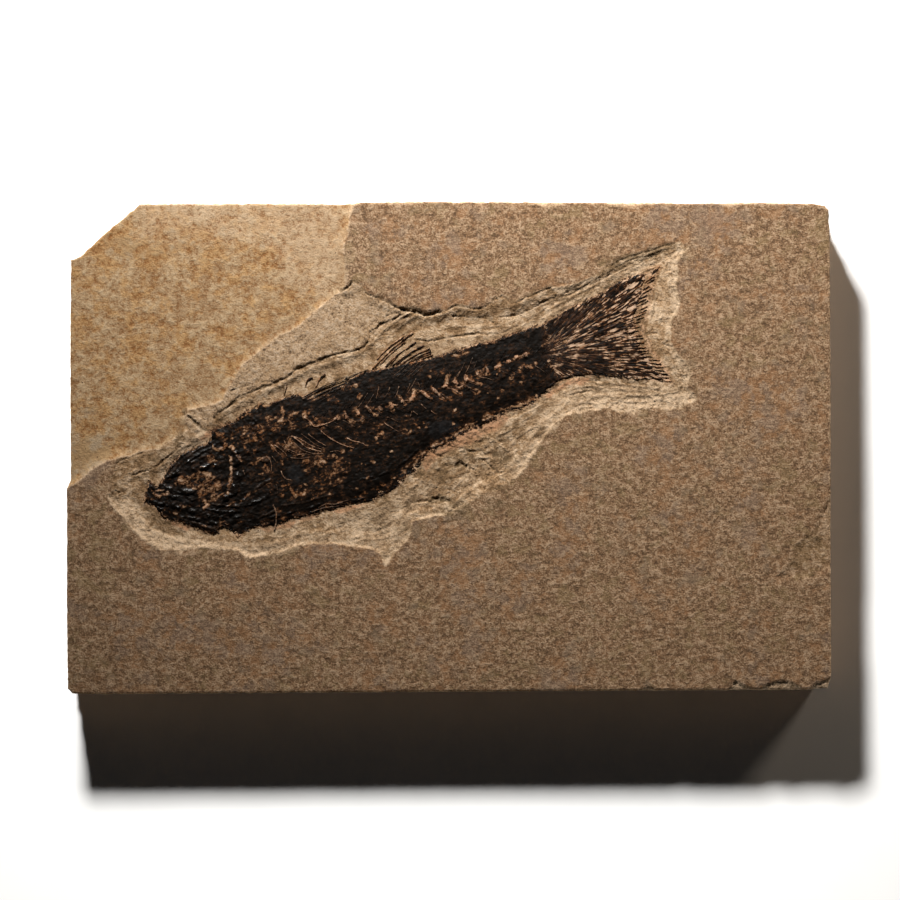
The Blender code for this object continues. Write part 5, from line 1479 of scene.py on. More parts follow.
def fish_surface(p):
    """Height of the fish's surface and its masks: bone, wear, painted grey sheen and dark bone."""
    sizes = bpy.context.scene.fossil_sizes
    edge = depth_in(p, fish_film_outline())[0]
    flow, on_tail = flow_of(p)
    crown = np.sin(np.clip(edge / (6.0 * MM), 0, 1) * math.pi / 2)
    rise = sizes.film_edge + (sizes.film_crown - sizes.film_edge) * crown
    rise = rise * (1 - 0.25 * ease((flow[:, 0] - place_run(SLIM_FROM)) / (16 * MM)))
    rise = rise * (1 - on_tail) + np.minimum(rise, TAIL_RISE) * on_tail
    # The film thins out into the stone along the belly.
    thinning = ease(1.2 - nearest(p, place(THIN_MARGIN))[0] / (5 * MM)) * ease(1 - edge / (4 * MM))
    rise = rise * (1 - 0.80 * thinning)
    fibres = noise(flow[:, :2], 0.40 * MM, 40, 3, stretch=(3.0, 1.0))
    lumps = noise(p, 0.95 * MM, 41, 4)
    broad = noise(p, 3.2 * MM, 46, 3)
    z = floor_level(p) + rise + FIBRE * fibres + LUMP * lumps + SWELL * broad
    head = ease((place([HEAD_END])[0, 0] - p[:, 0]) / (4 * MM) + 0.5)
    z += head * (HEAD_LUMP * noise(p, 1.3 * MM, 42, 3) + HEAD_GRAIN * noise(p, 0.55 * MM, 47, 2))

    bone = np.zeros(len(p))
    dark_bone = np.zeros(len(p))
    wander = 0.18 * MM * np.stack([lumps, noise(p, 0.9 * MM, 48)], 1)
    gaps = ease(0.85 + 1.8 * noise(p, 1.9 * MM, 49, 2))
    for half_width, height, strength, line in skull_lines():
        close = boxed(p, line, 1.3 * half_width)
        if not close.any():
            continue
        away = nearest((p + wander)[close], line)[0]
        ridge = round_ridge(away, half_width) * gaps[close]
        z[close] += height * ridge
        bone[close] = np.maximum(bone[close], strength * ease(ridge * 1.6))
        dark_bone[close] = np.maximum(dark_bone[close], (1 - strength) * ease(ridge * 1.4))

    worn = np.clip(0.05 + 0.18 * broad, 0, 0.25) + 0.24 * thinning
    for strength, patch in WORN_PATCHES:
        depth = depth_in(p, place(patch))[0] + 0.45 * MM * lumps
        worn = np.maximum(worn, strength * ease(depth / (1.1 * MM) + 0.30))
    worn = np.maximum(worn, 0.40 * ease(1 - edge / (0.6 * MM)))
    worn *= 1 - 0.8 * dark_bone
    dash = tail_dashes(p)
    z += on_tail * TAIL_DASH * np.clip(dash / 0.25, -1, 1)
    outward = ease((flow[:, 0] - place_run(FRINGE_FROM)) / (13 * MM)) + 0.5 * ease(1 - edge / (1.0 * MM))
    on_rays = 0.340 + 0.13 * outward + (0.20 + 0.08 * outward) * ease(0.5 - dash / 0.5)
    on_rays -= (0.18 + 0.10 * outward) * ease(dash / 0.3 - 0.7)
    on_rays -= 0.18 * patches_mask(p, TAIL_MASSES, 0.6 * MM * lumps, 0.9 * MM)
    worn = np.maximum(worn * (1 - on_tail), on_tail * on_rays)
    for half_width, strength, line in worn_lines():
        close = boxed(p, line, 1.6 * half_width)
        if close.any():
            away = nearest((p + wander)[close], line)[0]
            worn[close] = np.maximum(worn[close], strength * ease(1.6 - away / half_width))
    z += BARE_BONE * np.clip(worn - 0.45, 0, 0.3) / 0.3 * (1 - on_tail)
    flow[:, 2] = on_tail
    # Painted sheen: grey patches on the black film
    grey_sheen = patches_mask(p, GREY_SHEEN_PATCHES, 0.8 * MM * lumps, 2.0 * MM)
    z = np.minimum(z, CAD_BOX[1][2] - 0.06 * MM)
    return z, np.column_stack([bone, worn, grey_sheen, dark_bone]), flow


def film_mesh(material):
    sizes = bpy.context.scene.fossil_sizes
    outline = resample(fish_film_outline(), 0.22 * MM, closed=True)
    outline = roughen(roughen(outline, 0.30 * MM, 1.0 * MM, 50), 0.22 * MM, 0.42 * MM, 51)
    low, high = outline.min(0), outline.max(0)
    grid = hex_grid(low, high, sizes.film_spacing, 6)
    grid = grid[depth_in(grid, outline)[0] > 0.12 * MM]
    flat, tri = triangulate([outline], grid)
    z, marks, flow = fish_surface(flat)
    ring = borders(tri)[0]
    base = floor_level(flat[ring]).min() - 0.30 * MM
    foot = np.column_stack([flat[ring], np.full(len(ring), base)])
    lower = list(range(len(flat), len(flat) + len(ring)))
    flat_under, tri_under = triangulate([foot[:, :2]], np.zeros((0, 2)))
    under = np.column_stack([flat_under, np.full(len(flat_under), base)])
    faces = [tri, skirt(ring, lower), tri_under[:, ::-1] + len(flat) + len(ring)]
    marks = np.vstack([marks, marks[ring], np.zeros((len(flat_under), 4))])
    flow = np.vstack([flow, flow[ring], np.zeros((len(flat_under), 3))])
    verts = np.vstack([np.column_stack([flat, z]), foot, under])
    made = make_mesh("fish_film", verts, np.vstack(faces), material, {"marks": marks}, flow)
    print("film triangles", len(made.data.polygons))
    return made


class Pile:
    """Collects small closed solids into one mesh."""

    def __init__(self):
        self.verts, self.faces, self.tints, self.flow = [], [], [], []
        self.count = 0

    def tube(self, path, widths, heights, tint, sides=6):
        """A rounded rod along the path of x, y, z points, closed by a point at both ends."""
        along = np.gradient(path[:, :2], axis=0)
        along /= np.maximum(np.linalg.norm(along, axis=1), 1e-9)[:, None]
        across = np.stack([-along[:, 1], along[:, 0]], 1)
        turn = np.linspace(0, 2 * math.pi, sides, endpoint=False)
        reach = np.cos(turn)[None, :] * widths[:, None]
        flat = path[:, None, :2] + across[:, None, :] * reach[..., None]
        up = path[:, 2, None] + np.sin(turn)[None, :] * heights[:, None]
        rings = np.concatenate([flat, up[..., None]], 2).reshape(-1, 3)
        verts = np.vstack([rings, path[:1], path[-1:]])
        a = np.arange(sides)
        b = (a + 1) % sides
        faces = [np.stack([np.full(sides, len(verts) - 2), a, b], 1)]
        for k in range(len(path) - 1):
            c, d = a + k * sides, b + k * sides
            faces += [np.stack([c, c + sides, d], 1), np.stack([d, c + sides, d + sides], 1)]
        end = (len(path) - 1) * sides
        faces.append(np.stack([np.full(sides, len(verts) - 1), end + b, end + a], 1))
        run = run_of(path)
        flow = np.zeros((len(verts), 3))
        flow[:-2, 0] = np.repeat(run, sides)
        flow[-1, 0] = run[-1]
        flow[:, 1] = self.count * 0.37 * MM
        self.verts.append(verts)
        self.faces.append(np.vstack(faces) + self.count)
        tint = np.broadcast_to(tint, (len(path), 4))
        tints = np.vstack([np.repeat(tint, sides, 0), tint[:1], tint[-1:]])
        tints[:-2, 0] *= np.tile(0.12 + 0.88 * ease(np.sin(turn) * 1.25), len(path))
        tints[-2:, 0] *= 0.3
        self.tints.append(tints)
        self.flow.append(flow)
        self.count += len(verts)

    def make(self, name, material):
        made = make_mesh(name, np.vstack(self.verts), np.vstack(self.faces), material,
                         {"marks": np.vstack(self.tints)}, np.vstack(self.flow))
        print(name, "triangles", len(made.data.polygons))
        return made


def on_fish(line, lift):
    """The line as x, y, z points that lie on the fish."""
    return np.column_stack([line, surface_at(line) + lift])


def at_margin(line, margin, over_stone, over_film):
    """The line as x, y, z points on the fish, and on the stone where it reaches beyond the fish."""
    beyond = depth_in(line, fish_film_outline())[0] < margin
    height = np.where(beyond, floor_level(line) + over_stone, surface_at(line) + over_film)
    return np.column_stack([line, height])


def vertebrae(material):
    """Worn vertebrae in a row: a lump each, with short arms that sweep back towards the tail."""
    unit = plan_unit()
    rng = np.random.default_rng(SEED + 60)
    pile = Pile()
    for row in VERTEBRAE:
        line = smooth(place(row), 0.22 * MM)
        line[:, :2] += rng.uniform(-0.07, 0.07, (len(line), 2)) * MM
        stout = ease((line[:, 2] / unit - 0.55) / 1.0)
        width = line[:, 2] * (0.90 + 0.26 * stout) * rng.uniform(0.72, 1.20, len(line))
        tint = np.tile([rng.uniform(0.8, 1.0), rng.uniform(0.35, 0.5), 0.0, 0.0], (len(line), 1))
        tint[:, 0] *= 0.30 + 0.70 * stout
        pile.tube(on_fish(line[:, :2], 0.01 * MM), width * 1.05, width * 0.50, tint, 8)
    return pile.make("vertebrae", material)


def ribs_and_spines(material):
    """Ribs behind the head, and the thin spines above and below the backbone."""
    rng = np.random.default_rng(SEED + 70)
    pile = Pile()
    for half_width, strength, path in THIN_BONES:
        line = smooth(place(path), 0.45 * MM)
        line = line + 0.07 * MM * np.stack([noise(line, 1.3 * MM, 71), noise(line, 1.3 * MM, 72)], 1)
        share = np.linspace(0, 1, len(line))
        width = half_width * MM * (1.0 - 0.45 * share) * rng.uniform(0.75, 1.2, len(line))
        pile.tube(on_fish(line, 0.03 * MM), width, width, np.array([strength, 0.1, 0, 0]))
    # Thin dark spines lean back from the backbone on both sides.
    axis = smooth(place(AXIS[FIRST_VERTEBRA:TAIL_ROOT + 1]), 0.25 * MM)
    heading = np.gradient(axis, axis=0)
    heading /= np.linalg.norm(heading, axis=1)[:, None]
    for k in range(6, len(axis), 9):
        ahead, back = heading[k], np.array([-heading[k][1], heading[k][0]])
        for sign in (1, -1):
            start = axis[k] + sign * back * rng.uniform(0.9, 1.6) * MM
            end = start + (sign * back * 0.75 + ahead * 0.80) * rng.uniform(2.2, 4.2) * MM
            line = smooth(np.array([start, (start + end) / 2 + ahead * 0.12 * MM, end]), 0.6 * MM)
            bare = rng.uniform() < 0.25
            tint = np.array([rng.uniform(0.2, 0.5) if bare else 0.0, 0.15, 0, 0.6])
            width = np.linspace(0.10, 0.05, len(line)) * MM
            pile.tube(on_fish(line, 0.02 * MM), width, width, tint, 5)
    return pile.make("ribs_and_spines", material)


def tail_rays(material):
    """The free ends of the tail's rays, which stand apart on the stone."""
    sizes = bpy.context.scene.fossil_sizes
    rng = np.random.default_rng(SEED + 80)
    pile = Pile()
    tips = place(TAIL_TIPS)
    run = run_of(tips)
    heel = place([TAIL_HEEL])[0]
    for k in range(FREE_RAYS):
        at = np.clip((k + rng.uniform(-0.3, 0.3)) / (FREE_RAYS - 1), 0, 1) * run[-1]
        tip = at_run(at, run, tips)
        reach = np.linalg.norm(tip - heel)
        unit = (tip - heel) / reach
        side = np.array([-unit[1], unit[0]])
        tip = tip - unit * rng.uniform(0, 1.6) * MM * (0 if k in (0, FREE_RAYS - 1) else 1)
        start = tip - unit * rng.uniform(2.0, 3.8) * MM
        middle = (start + tip) / 2 + side * rng.uniform(-0.10, 0.10) * MM
        line = smooth(np.array([start, middle, tip]), 0.5 * MM)
        line = line + side * 0.08 * MM * noise(line, 1.2 * MM, 81 + k, 2)[:, None]
        part = np.linspace(0, 1, len(line))
        width = sizes.tail_ray_radius * rng.uniform(0.6, 1.15)
        width = width * (0.55 + 0.6 * np.sin(part * math.pi * 0.8))
        width = width * rng.uniform(0.8, 1.15, len(line))
        tint = np.array([0.0, rng.uniform(0.28, 0.56), 0, 0.0])
        pile.tube(at_margin(line, 0.2 * MM, 0.10 * MM, 0.01 * MM), width, width * 0.8, tint)
    return pile.make("tail_rays", material)


def margin_fibres(material):
    """Short dark splinters of spines and scales that stick out of the fish's margin."""
    rng = np.random.default_rng(SEED + 85)
    pile = Pile()
    for edge, side in ((place(FISH_BACK), 1.0), (place(FISH_BELLY), -1.0)):
        ways = np.gradient(edge, axis=0)
        run = run_of(edge)
        for at in np.sort(rng.uniform(0, run[-1], SPLINTERS)):
            foot = at_run(at, run, edge)
            way = at_run(at, run, ways)
            way /= np.linalg.norm(way)
            outward = np.array([-way[1], way[0]])
            tailward = way * side
            nape = 1.0 if side > 0 and 0.12 < at / run[-1] < 0.42 else 0.0
            reach = rng.uniform(0.35, 0.95 + 0.55 * nape) * MM
            lean = outward * rng.uniform(0.25, 0.75) + tailward * rng.uniform(0.6, 1.0)
            start = foot - outward * rng.uniform(0.1, 0.7) * MM
            end = start + lean / np.linalg.norm(lean) * (reach + 0.5 * MM)
            bend = (start + end) / 2 + outward * rng.uniform(-0.05, 0.05) * MM
            line = smooth(np.array([start, bend, end]), 0.28 * MM)
            rest = at_margin(line, 0.1 * MM, 0.12 * MM, 0.02 * MM)
            width = rng.uniform(0.06, 0.13) * MM * np.linspace(1.0, 0.5, len(line))
            tint = np.array([0, rng.uniform(0.0, 0.75) ** 2, 0, 0.6])
            pile.tube(rest, width, width * 0.8, tint, 5)
    for half_width, path in BACK_HAIRS:
        line = smooth(place(path), 0.45 * MM)
        share = np.linspace(0, 1, len(line))
        width = half_width * MM * (1.0 - 0.5 * share) * rng.uniform(0.7, 1.2, len(line))
        height = np.maximum(surface_at(line), floor_level(line) + 0.14 * MM)
        pile.tube(np.column_stack([line, height]), width, width * 0.8, np.array([0, 0.2, 0, 0.4]), 5)
    return pile.make("margin_fibres", material)


def dorsal_rays(material):
    """The rays of the fin on the back, dark and thin on pale stone."""
    rng = np.random.default_rng(SEED + 90)
    pile = Pile()
    for half_width, path in DORSAL_RAYS:
        line = smooth(place(path), 0.45 * MM)
        share = np.linspace(0, 1, len(line))
        width = (half_width + 0.08 * ease((share - 0.6) / 0.2)) * MM * rng.uniform(0.7, 1.25, len(line))
        height = floor_level(line) + 0.15 * MM - 0.05 * MM * share
        tint = np.array([0, rng.uniform(0.3, 0.6), 0, 0.2])
        pile.tube(np.column_stack([line, height]), width, width * 0.9, tint)
    return pile.make("dorsal_rays", material)


def loose_spine(name, path, material):
    pile = Pile()
    line = smooth(place(path), 0.5 * MM)
    share = np.linspace(0, 1, len(line))
    width = (0.24 - 0.15 * share) * MM * (0.8 + 0.4 * np.cos(share * 9) ** 2)
    if name == "loose_spine_front":
        width = np.full(len(line), 0.11 * MM)
    height = floor_level(line) + 0.13 * MM
    pile.tube(np.column_stack([line, height]), width, width * 0.7, np.array([0, 0.45, 0, 0.2]), 7)
    return pile.make(name + "_bone", material)


# Materials


class Nodes:
    """Short calls for building a node tree."""

    def __init__(self, tree):
        self.tree = tree

    def add(self, kind, **values):
        node = self.tree.nodes.new(kind)
        for key, value in values.items():
            setattr(node, key, value)
        return node

    def feed(self, value, socket):
        """Links an output into the socket, or gives the socket a number or a colour of its own."""
        if isinstance(value, (int, float)):
            socket.default_value = value
        elif isinstance(value, tuple) or hasattr(value, "hsv"):
            socket.default_value = (*tuple(value)[:3], 1.0)
        else:
            self.tree.links.new(value, socket)

    def fill(self, node, sockets):
        for name, value in sockets.items():
            self.feed(value, node.inputs[name])

    def attribute(self, name):
        """Red, green, blue and alpha of a colour attribute."""
        source = self.add("ShaderNodeAttribute", attribute_name=name)
        parts = self.add("ShaderNodeSeparateColor")
        self.feed(source.outputs["Color"], parts.inputs[0])
        return (*parts.outputs, source.outputs["Alpha"])

    def mapping(self, vector, scale=(1.0, 1.0, 1.0), location=(0.0, 0.0, 0.0)):
        node = self.add("ShaderNodeMapping")
        node.inputs["Scale"].default_value = scale
        node.inputs["Location"].default_value = location
        self.feed(vector, node.inputs["Vector"])
        return node.outputs[0]

    def math(self, operation, first, second, clamp=False):
        node = self.add("ShaderNodeMath", operation=operation, use_clamp=clamp)
        self.feed(first, node.inputs[0])
        self.feed(second, node.inputs[1])
        return node.outputs[0]

    def times(self, first, second):
        return self.math("MULTIPLY", first, second)

    def less(self, first, second):
        return self.math("SUBTRACT", first, second)

    def span(self, value, low, high, to_low=0.0, to_high=1.0):
        """A smooth change from one number to the other while the value goes from low to high."""
        node = self.add("ShaderNodeMapRange", interpolation_type="SMOOTHSTEP")
        self.fill(node, {"Value": value, "From Min": low, "From Max": high,
                         "To Min": to_low, "To Max": to_high})
        return node.outputs[0]

    def mix(self, share, first, second, blend="MIX"):
        node = self.add("ShaderNodeMix", data_type="RGBA", blend_type=blend)
        for value, at in ((share, 0), (first, 6), (second, 7)):
            self.feed(value, node.inputs[at])
        return node.outputs[2]

    def tinted(self, base, *tints):
        """The base with tones laid over it: each is a value, its span, the most it covers, and a tone."""
        for value, low, high, most, tone in tints:
            base = self.mix(self.span(value, low, high, 0.0, most), base, tone)
        return base

    def noise(self, vector, scale, detail=3.0, roughness=0.55, distortion=0.0):
        node = self.add("ShaderNodeTexNoise")
        self.fill(node, {"Vector": vector, "Scale": scale, "Detail": detail, "Roughness": roughness,
                         "Distortion": distortion})
        return node.outputs["Fac"]

    def blend(self, *parts):
        """Sum of the values, each times its own weight."""
        total = None
        for value, weight in parts:
            term = self.times(value, weight)
            total = term if total is None else self.math("ADD", total, term)
        return total

    def ramp(self, value, *stops):
        node = self.add("ShaderNodeValToRGB")
        self.feed(value, node.inputs[0])
        elements = node.color_ramp.elements
        while len(elements) < len(stops):
            elements.new(0.5)
        for element, (at, tone) in zip(elements, stops):
            element.position = at
            element.color = (*tuple(tone)[:3], 1.0)
        return node.outputs[0]

    def bump(self, height, distance):
        node = self.add("ShaderNodeBump")
        self.fill(node, {"Strength": 1.0, "Distance": distance, "Height": height})
        return node.outputs[0]


def grain_group():
    """Grain of the stone, from broad clouds down to grit, all from one set of coordinates."""
    group = bpy.data.node_groups.new("Stone grain", "ShaderNodeTree")
    scale = group.interface.new_socket("Scale", in_out="INPUT", socket_type="NodeSocketFloat")
    scale.default_value = 1.0
    n = Nodes(group)
    where = n.add("ShaderNodeVectorMath", operation="SCALE")
    n.feed(n.add("ShaderNodeTexCoord").outputs["Object"], where.inputs[0])
    n.feed(n.add("NodeGroupInput").outputs["Scale"], where.inputs["Scale"])
    where = where.outputs[0]
    flat = n.mapping(where, scale=(1.0, 1.08, 2.0))
    shifted = n.mapping(where, location=(0.31, 0.17, 0.23))
    grains = {
        "Grit": n.noise(where, 2300.0, 2.0, 0.55),
        "Fine": n.noise(flat, 900.0, 2.0, 0.6),
        "Coarse": n.noise(flat, 400.0, 2.0, 0.6),
        "Broad": n.noise(flat, 60.0, 4.0, 0.6),
        "Speck": n.noise(shifted, 1500.0, 2.0, 0.55),
        "Hue": n.noise(shifted, 290.0, 4.0, 0.62),
    }
    for name in grains:
        group.interface.new_socket(name, in_out="OUTPUT", socket_type="NodeSocketFloat")
    n.fill(n.add("NodeGroupOutput"), grains)
    return group


def new_material(name, slot_rgb):
    made = bpy.data.materials.new(name)
    made.use_nodes = True
    made.diffuse_color = (*slot_rgb, 1.0)
    return made, Nodes(made.node_tree), made.node_tree.nodes["Principled BSDF"]


def stone_material():
    """Split limestone: four tones by layer, and over them the marks of wear, with painted shade and
    painted light among them.
    """
    c = bpy.context.scene.fossil_colours
    made, n, shader = new_material("split_limestone", c.brown_mid)
    grit, fine, coarse, broad, speck, hue = n.add("ShaderNodeGroup", node_tree=grain_group()).outputs
    in_yellow, in_plateau, in_trough, near_fish = n.attribute("layer")
    cracks, broken, rusty, unshaded = n.attribute("wear")

    crisp = n.blend((grit, 0.42), (fine, 0.36), (coarse, 0.22))
    mixed = n.blend((grit, 0.38), (fine, 0.37), (coarse, 0.25))
    flecks = n.blend((grit, 0.32), (fine, 0.40), (coarse, 0.28))
    body = n.blend((crisp, 0.50), (coarse, 0.18), (hue, 0.32))
    cloud = n.blend((hue, 0.65), (broad, 0.35))
    blotch = n.blend((broad, 0.80), (coarse, 0.20))

    brown = n.tinted(
        n.ramp(mixed, (0.412, c.brown_dark), (0.496, c.brown_mid), (0.584, c.brown_light)),
        (cloud, 0.51, 0.63, 0.52, c.brown_rusty),
        (cloud, 0.48, 0.39, 0.40, c.brown_olive),
        (n.blend((hue, -0.5), (broad, 0.5)), 0.02, 0.10, 0.42, c.brown_grey),
        (speck, 0.60, 0.70, 0.50, c.brown_light),
        (speck, 0.37, 0.28, 0.65, c.brown_dark),
    )
    yellow = n.tinted(
        n.ramp(flecks, (0.39, c.yellow_dark), (0.485, c.yellow_mid), (0.595, c.yellow_light)),
        (blotch, 0.565, 0.63, 0.60, c.yellow_grey),
        (blotch, 0.46, 0.38, 0.22, c.yellow_dark),
    )
    yellow = n.mix(n.span(cloud, 0.45, 0.58, 0.0, 0.90), yellow, c.yellow_orange, "MULTIPLY")
    yellow = n.tinted(yellow, (speck, 0.36, 0.29, 0.35, c.brown_dark))
    pale = n.tinted(
        n.ramp(crisp, (0.385, c.pale_dark), (0.48, c.pale_mid), (0.59, c.pale_light)),
        (cloud, 0.50, 0.60, 0.45, c.pale_warm),
        (speck, 0.40, 0.32, 0.40, c.pale_dark),
    )
    trough = n.tinted(
        n.ramp(body, (0.405, c.trough_dark), (0.485, c.trough_mid), (0.585, c.trough_light)),
        (broad, 0.48, 0.34, 0.28, c.trough_dark),
        (speck, 0.36, 0.28, 0.60, c.pale_dark),
    )

    tone = n.mix(in_yellow, brown, yellow)
    tone = n.mix(in_plateau, tone, pale)
    tone = n.mix(in_trough, tone, trough)
    # Pale fresh stone, partly painted light on the slopes, crests and edges that face the lamp
    fresh_and_painted_light = n.times(broken, n.span(crisp, 0.38, 0.52, 0.25, 1.0))
    tone = n.mix(n.times(fresh_and_painted_light, 0.85), tone, c.trough_light)
    tone = n.mix(n.times(rusty, n.span(mixed, 0.38, 0.56, 0.2, 0.85)), tone, c.rust)
    # Painted shade and darker clay: the olive tone goes where the alpha of the wear marks is below 1
    shade = n.less(1.0, unshaded)
    tone = n.mix(n.times(shade, n.span(mixed, 0.62, 0.40, 0.25, 0.85)), tone, c.olive)
    # Dirt and painted shade in the cracks
    tone = n.mix(n.times(cracks, n.span(crisp, 0.60, 0.44, 0.45, 0.90)), tone, c.crack_dirt_and_shade)
    # Crumbs of the black film lie on the stone close to the fish.
    crumb = n.blend((speck, 0.7), (grit, 0.3), (near_fish, 0.17))
    tone = n.tinted(tone, (crumb, 0.665, 0.71, 0.9, c.film_brown))

    height = n.blend((grit, 0.48), (fine, 0.84), (coarse, 0.78), (n.times(in_trough, grit), 0.30))
    n.fill(shader, {"Base Color": tone, "Roughness": 0.92, "Specular IOR Level": 0.25,
                    "Normal": n.bump(height, 0.22 * MM)})
    return made


def fossil_material(name, bone_like):
    """Black mineral film or bone: marks are bone, wear, painted grey sheen and dark bone."""
    c = bpy.context.scene.fossil_colours
    made, n, shader = new_material(name, c.bone if bone_like else c.film)
    bone, worn, grey_sheen, dark = n.attribute("marks")
    where = n.add("ShaderNodeTexCoord").outputs["Object"]
    flow = n.add("ShaderNodeAttribute", attribute_name="flow").outputs["Vector"]
    parts = n.add("ShaderNodeSeparateXYZ")
    n.feed(flow, parts.inputs[0])
    tail = parts.outputs[2]

    fibre = n.noise(n.mapping(flow, scale=(0.26, 1.0, 0.0)), 1900.0, 3.0, 0.6)
    drawn = n.mapping(flow, scale=(0.17, 1.0, 0.0))
    ray = n.blend((n.noise(drawn, 1500.0, 2.0, 0.6), 0.5), (n.noise(drawn, 3000.0, 2.0, 0.6), 0.5))
    hue = n.noise(where, 560.0, 2.0, 0.5)
    speck = n.noise(where, 1400.0, 3.0, 0.62, 0.3)
    clump = n.noise(where, 500.0, 3.0, 0.6)
    on_body = n.blend((speck, 0.34), (fibre, 0.26), (clump, 0.40))
    on_tail = n.blend((ray, 0.64), (speck, 0.12), (clump, 0.24))
    field = n.blend((on_body, 1.0), (n.times(tail, n.less(on_tail, on_body)), 1.0))

    thin = n.blend((field, 1.0), (worn, 0.20))
    film = n.mix(n.span(thin, 0.50, 0.68), c.film, c.film_brown)
    film = n.mix(n.times(tail, n.span(on_tail, 0.46, 0.60, 0.0, 0.42)), film, c.film_rust)
    film = n.mix(n.times(dark, 0.75), film, c.film)
    # Painted sheen: grey laid over the film in patches
    film = n.mix(n.times(grey_sheen, n.span(clump, 0.40, 0.60, 0.3, 0.9)), film, c.grey_sheen)
    # Flecks grow with the wear, from a few specks to a torn patch, and go from rust to bare bone.
    over = n.less(field, n.less(0.662, n.times(worn, 0.36)))
    fleck = n.math("MULTIPLY", n.math("ADD", over, 0.030), 19.0, clamp=True)
    steep = n.math("ADD", n.times(tail, 6.0), 8.2)
    core = n.math("MULTIPLY", over, steep, clamp=True)
    bare = n.ramp(core, (0.0, c.film_rust), (0.42, c.film_tan), (1.0, c.bone_pale))
    bare = n.mix(n.times(n.span(hue, 0.52, 0.64, 0.0, 0.65), n.less(1.0, core)), bare, c.film_orange)
    tone = n.mix(fleck, film, bare)
    bone_share = n.times(bone, n.span(field, 0.38, 0.54, 0.12, 1.0))
    tone = n.mix(bone_share, tone, n.mix(n.span(speck, 0.44, 0.66), c.bone, c.bone_pale))

    pale = n.math("MAXIMUM", fleck, bone_share)
    gloss = n.less(n.span(clump, 0.40, 0.62, 0.52, 0.66), n.times(dark, 0.24))
    glint = n.times(dark, n.span(fibre, 0.44, 0.60, 0.05, 0.50))
    height = n.blend((fibre, 0.45), (speck, 0.85), (clump, 0.6), (n.times(tail, ray), 1.2))
    n.fill(shader, {"Base Color": tone, "Roughness": n.math("MAXIMUM", gloss, n.times(pale, 0.80)),
                    "Specular IOR Level": n.math("ADD", glint, 0.17), "Normal": n.bump(height, 0.12 * MM)})
    return made


def floor_material():
    """A pale floor that stays pale far away from the lamps."""
    c = bpy.context.scene.fossil_colours
    made, n, shader = new_material("studio_floor", c.floor)
    where = n.add("ShaderNodeTexCoord").outputs["Object"]
    tone = n.mix(n.span(n.noise(where, 30.0, 4.0, 0.6), 0.35, 0.65), c.floor, c.floor_shade)
    away = n.add("ShaderNodeVectorMath", operation="LENGTH")
    n.feed(where, away.inputs[0])
    far = n.span(away.outputs["Value"], 0.17, 0.55, 0.0, 0.75)
    glow = n.mix(far, (0.0, 0.0, 0.0), (1.0, 1.0, 1.0))
    n.fill(shader, {"Base Color": tone, "Roughness": 0.9, "Specular IOR Level": 0.1,
                    "Emission Color": glow, "Emission Strength": 0.75})
    return made


# The stage


def studio_floor():
    half = FLOOR_LENGTH / 2
    mesh = bpy.data.meshes.new("floor")
    corners = [(-half, -half, 0), (half, -half, 0), (half, half, 0), (-half, half, 0)]
    mesh.from_pydata(corners, [], [(0, 1, 2, 3)])
    mesh.materials.append(floor_material())
    made = bpy.data.objects.new("floor", mesh)
    bpy.context.scene.collection.objects.link(made)
    return made


def softbox(name, size, power, spread, at, aim, tint):
    light = bpy.data.lights.new(name, "AREA")
    light.shape = "RECTANGLE"
    light.size, light.size_y = size
    light.energy = power
    light.spread = math.radians(spread)
    light.color = tint
    made = bpy.data.objects.new(name, light)
    made.location = at
    made.rotation_euler = (Vector(aim) - Vector(at)).to_track_quat("-Z", "Y").to_euler()
    made.visible_camera = False
    bpy.context.scene.collection.objects.link(made)
    return made


# Operators, one for each piece or group of like pieces


class FOSSIL_OT_slab(Operator):
    """Make the slab of split limestone"""

    bl_idname = "fossil.slab"
    bl_label = "Make slab"

    def execute(self, context):
        declare(stone_mesh(stone_material()), ["stone_slab"])
        return {"FINISHED"}


class FOSSIL_OT_fish(Operator):
    """Make the black film of the fish with its skull"""

    bl_idname = "fossil.fish"
    bl_label = "Make fish"

    def execute(self, context):
        declare(film_mesh(fossil_material("fossil_film", False)), ["fish_body"])
        return {"FINISHED"}


class FOSSIL_OT_backbone(Operator):
    """Make the row of vertebrae"""

    bl_idname = "fossil.backbone"
    bl_label = "Make backbone"

    def execute(self, context):
        declare(vertebrae(fossil_material("vertebra_bone", True)), ["backbone"])
        return {"FINISHED"}


class FOSSIL_OT_ribs(Operator):
    """Make the ribs and the thin spines"""

    bl_idname = "fossil.ribs"
    bl_label = "Make ribs"

    def execute(self, context):
        declare(ribs_and_spines(fossil_material("rib_bone", True)), ["fish_body"])
        return {"FINISHED"}


class FOSSIL_OT_fins(Operator):
    """Make the rays of the tail and of the fin on the back, and the splinters at the margin"""

    bl_idname = "fossil.fins"
    bl_label = "Make fins"

    def execute(self, context):
        dark = fossil_material("fin_rays", False)
        declare(tail_rays(dark), ["fish_body"])
        declare(margin_fibres(dark), ["fish_body"])
        declare(dorsal_rays(dark), ["dorsal_fin"])
        return {"FINISHED"}


class FOSSIL_OT_loose_spines(Operator):
    """Make the loose spines above the nape"""

    bl_idname = "fossil.loose_spines"
    bl_label = "Make loose spines"

    def execute(self, context):
        dark = fossil_material("loose_bone", False)
        for name, path in LOOSE_SPINES.items():
            declare(loose_spine(name, path, dark), [name])
        return {"FINISHED"}


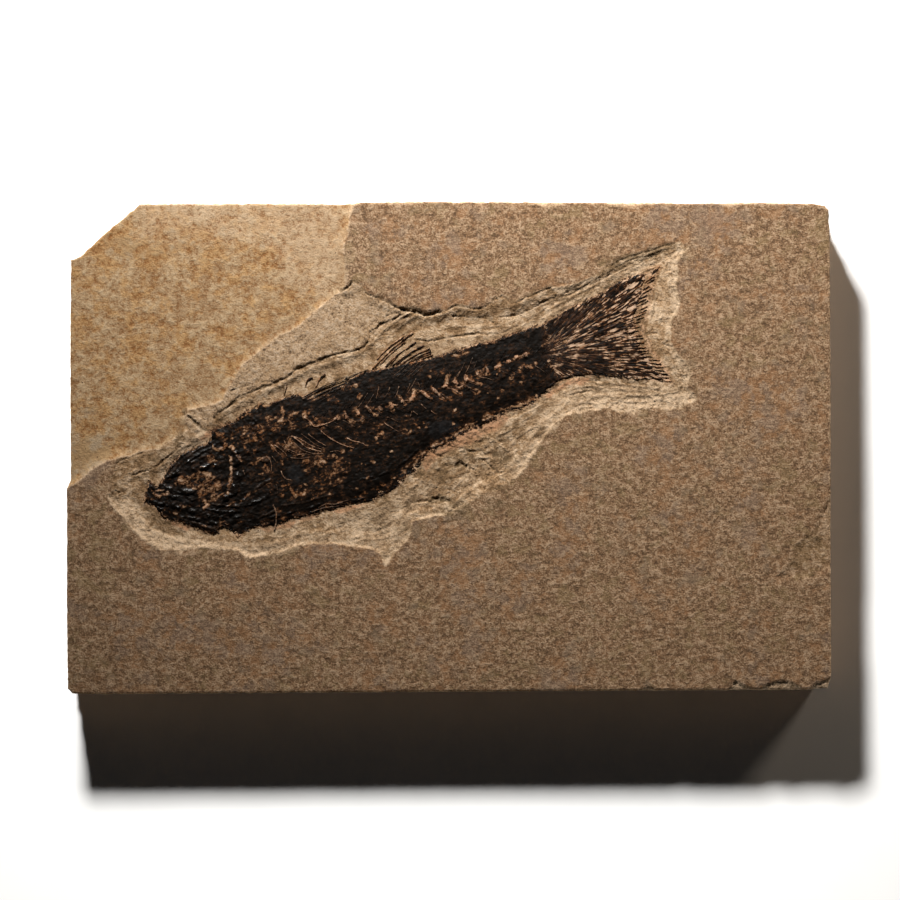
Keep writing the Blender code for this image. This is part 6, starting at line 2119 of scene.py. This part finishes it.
class FOSSIL_OT_stage(Operator):
    """Make the floor, the lights and the camera"""

    bl_idname = "fossil.stage"
    bl_label = "Make stage"

    def execute(self, context):
        scene = context.scene
        pieces = [made for made in scene.objects if made.type == "MESH"]
        floor = studio_floor()
        for name, size, power, spread, at, aim, tint, lit in LAMPS:
            lamp = softbox(name, size, power, spread, at, aim, tint)
            if lit != "all":
                group = bpy.data.collections.new(name + "_lights")
                for member in {"floor": [floor], "pieces": pieces}[lit]:
                    group.objects.link(member)
                lamp.light_linking.receiver_collection = group

        scene.world = bpy.data.worlds.new("studio")
        scene.world.use_nodes = True
        background = scene.world.node_tree.nodes["Background"]
        background.inputs["Color"].default_value = (1.0, 1.0, 1.0, 1.0)
        background.inputs["Strength"].default_value = WORLD_STRENGTH
        scene.view_settings.view_transform = "Standard"

        data = bpy.data.cameras.new("camera")
        data.lens, data.sensor_width = CAMERA_LENS, CAMERA_SENSOR
        camera = bpy.data.objects.new("camera", data)
        distance = data.lens / data.sensor_width * PICTURE_SIZE * plan_unit()
        centre = place([(PICTURE_SIZE / 2, PICTURE_SIZE / 2)])[0]
        camera.location = (centre[0], centre[1], CAD_BOX[1][2] + distance)
        scene.collection.objects.link(camera)
        scene.camera = camera
        return {"FINISHED"}


class FOSSIL_PT_panel(Panel):
    """Buttons for every piece of the fossil slab"""

    bl_idname = "FOSSIL_PT_panel"
    bl_label = "Fossil slab"
    bl_space_type = "VIEW_3D"
    bl_region_type = "UI"
    bl_category = "Fossil"

    def draw(self, context):
        for operator in OPERATORS:
            self.layout.operator(operator.bl_idname)


OPERATORS = (FOSSIL_OT_slab, FOSSIL_OT_fish, FOSSIL_OT_backbone, FOSSIL_OT_ribs, FOSSIL_OT_fins,
             FOSSIL_OT_loose_spines, FOSSIL_OT_stage)
CLASSES = (FossilSizes, FossilColours, *OPERATORS, FOSSIL_PT_panel)


def register():
    for cls in CLASSES:
        bpy.utils.register_class(cls)
    bpy.types.Scene.fossil_sizes = PointerProperty(type=FossilSizes)
    bpy.types.Scene.fossil_colours = PointerProperty(type=FossilColours)


def unregister():
    del bpy.types.Scene.fossil_colours
    del bpy.types.Scene.fossil_sizes
    for cls in reversed(CLASSES):
        bpy.utils.unregister_class(cls)


def main():
    register()
    bpy.ops.fossil.slab()
    bpy.ops.fossil.fish()
    bpy.ops.fossil.backbone()
    bpy.ops.fossil.ribs()
    bpy.ops.fossil.fins()
    bpy.ops.fossil.loose_spines()
    bpy.ops.fossil.stage()


if __name__ == "__main__":
    main()
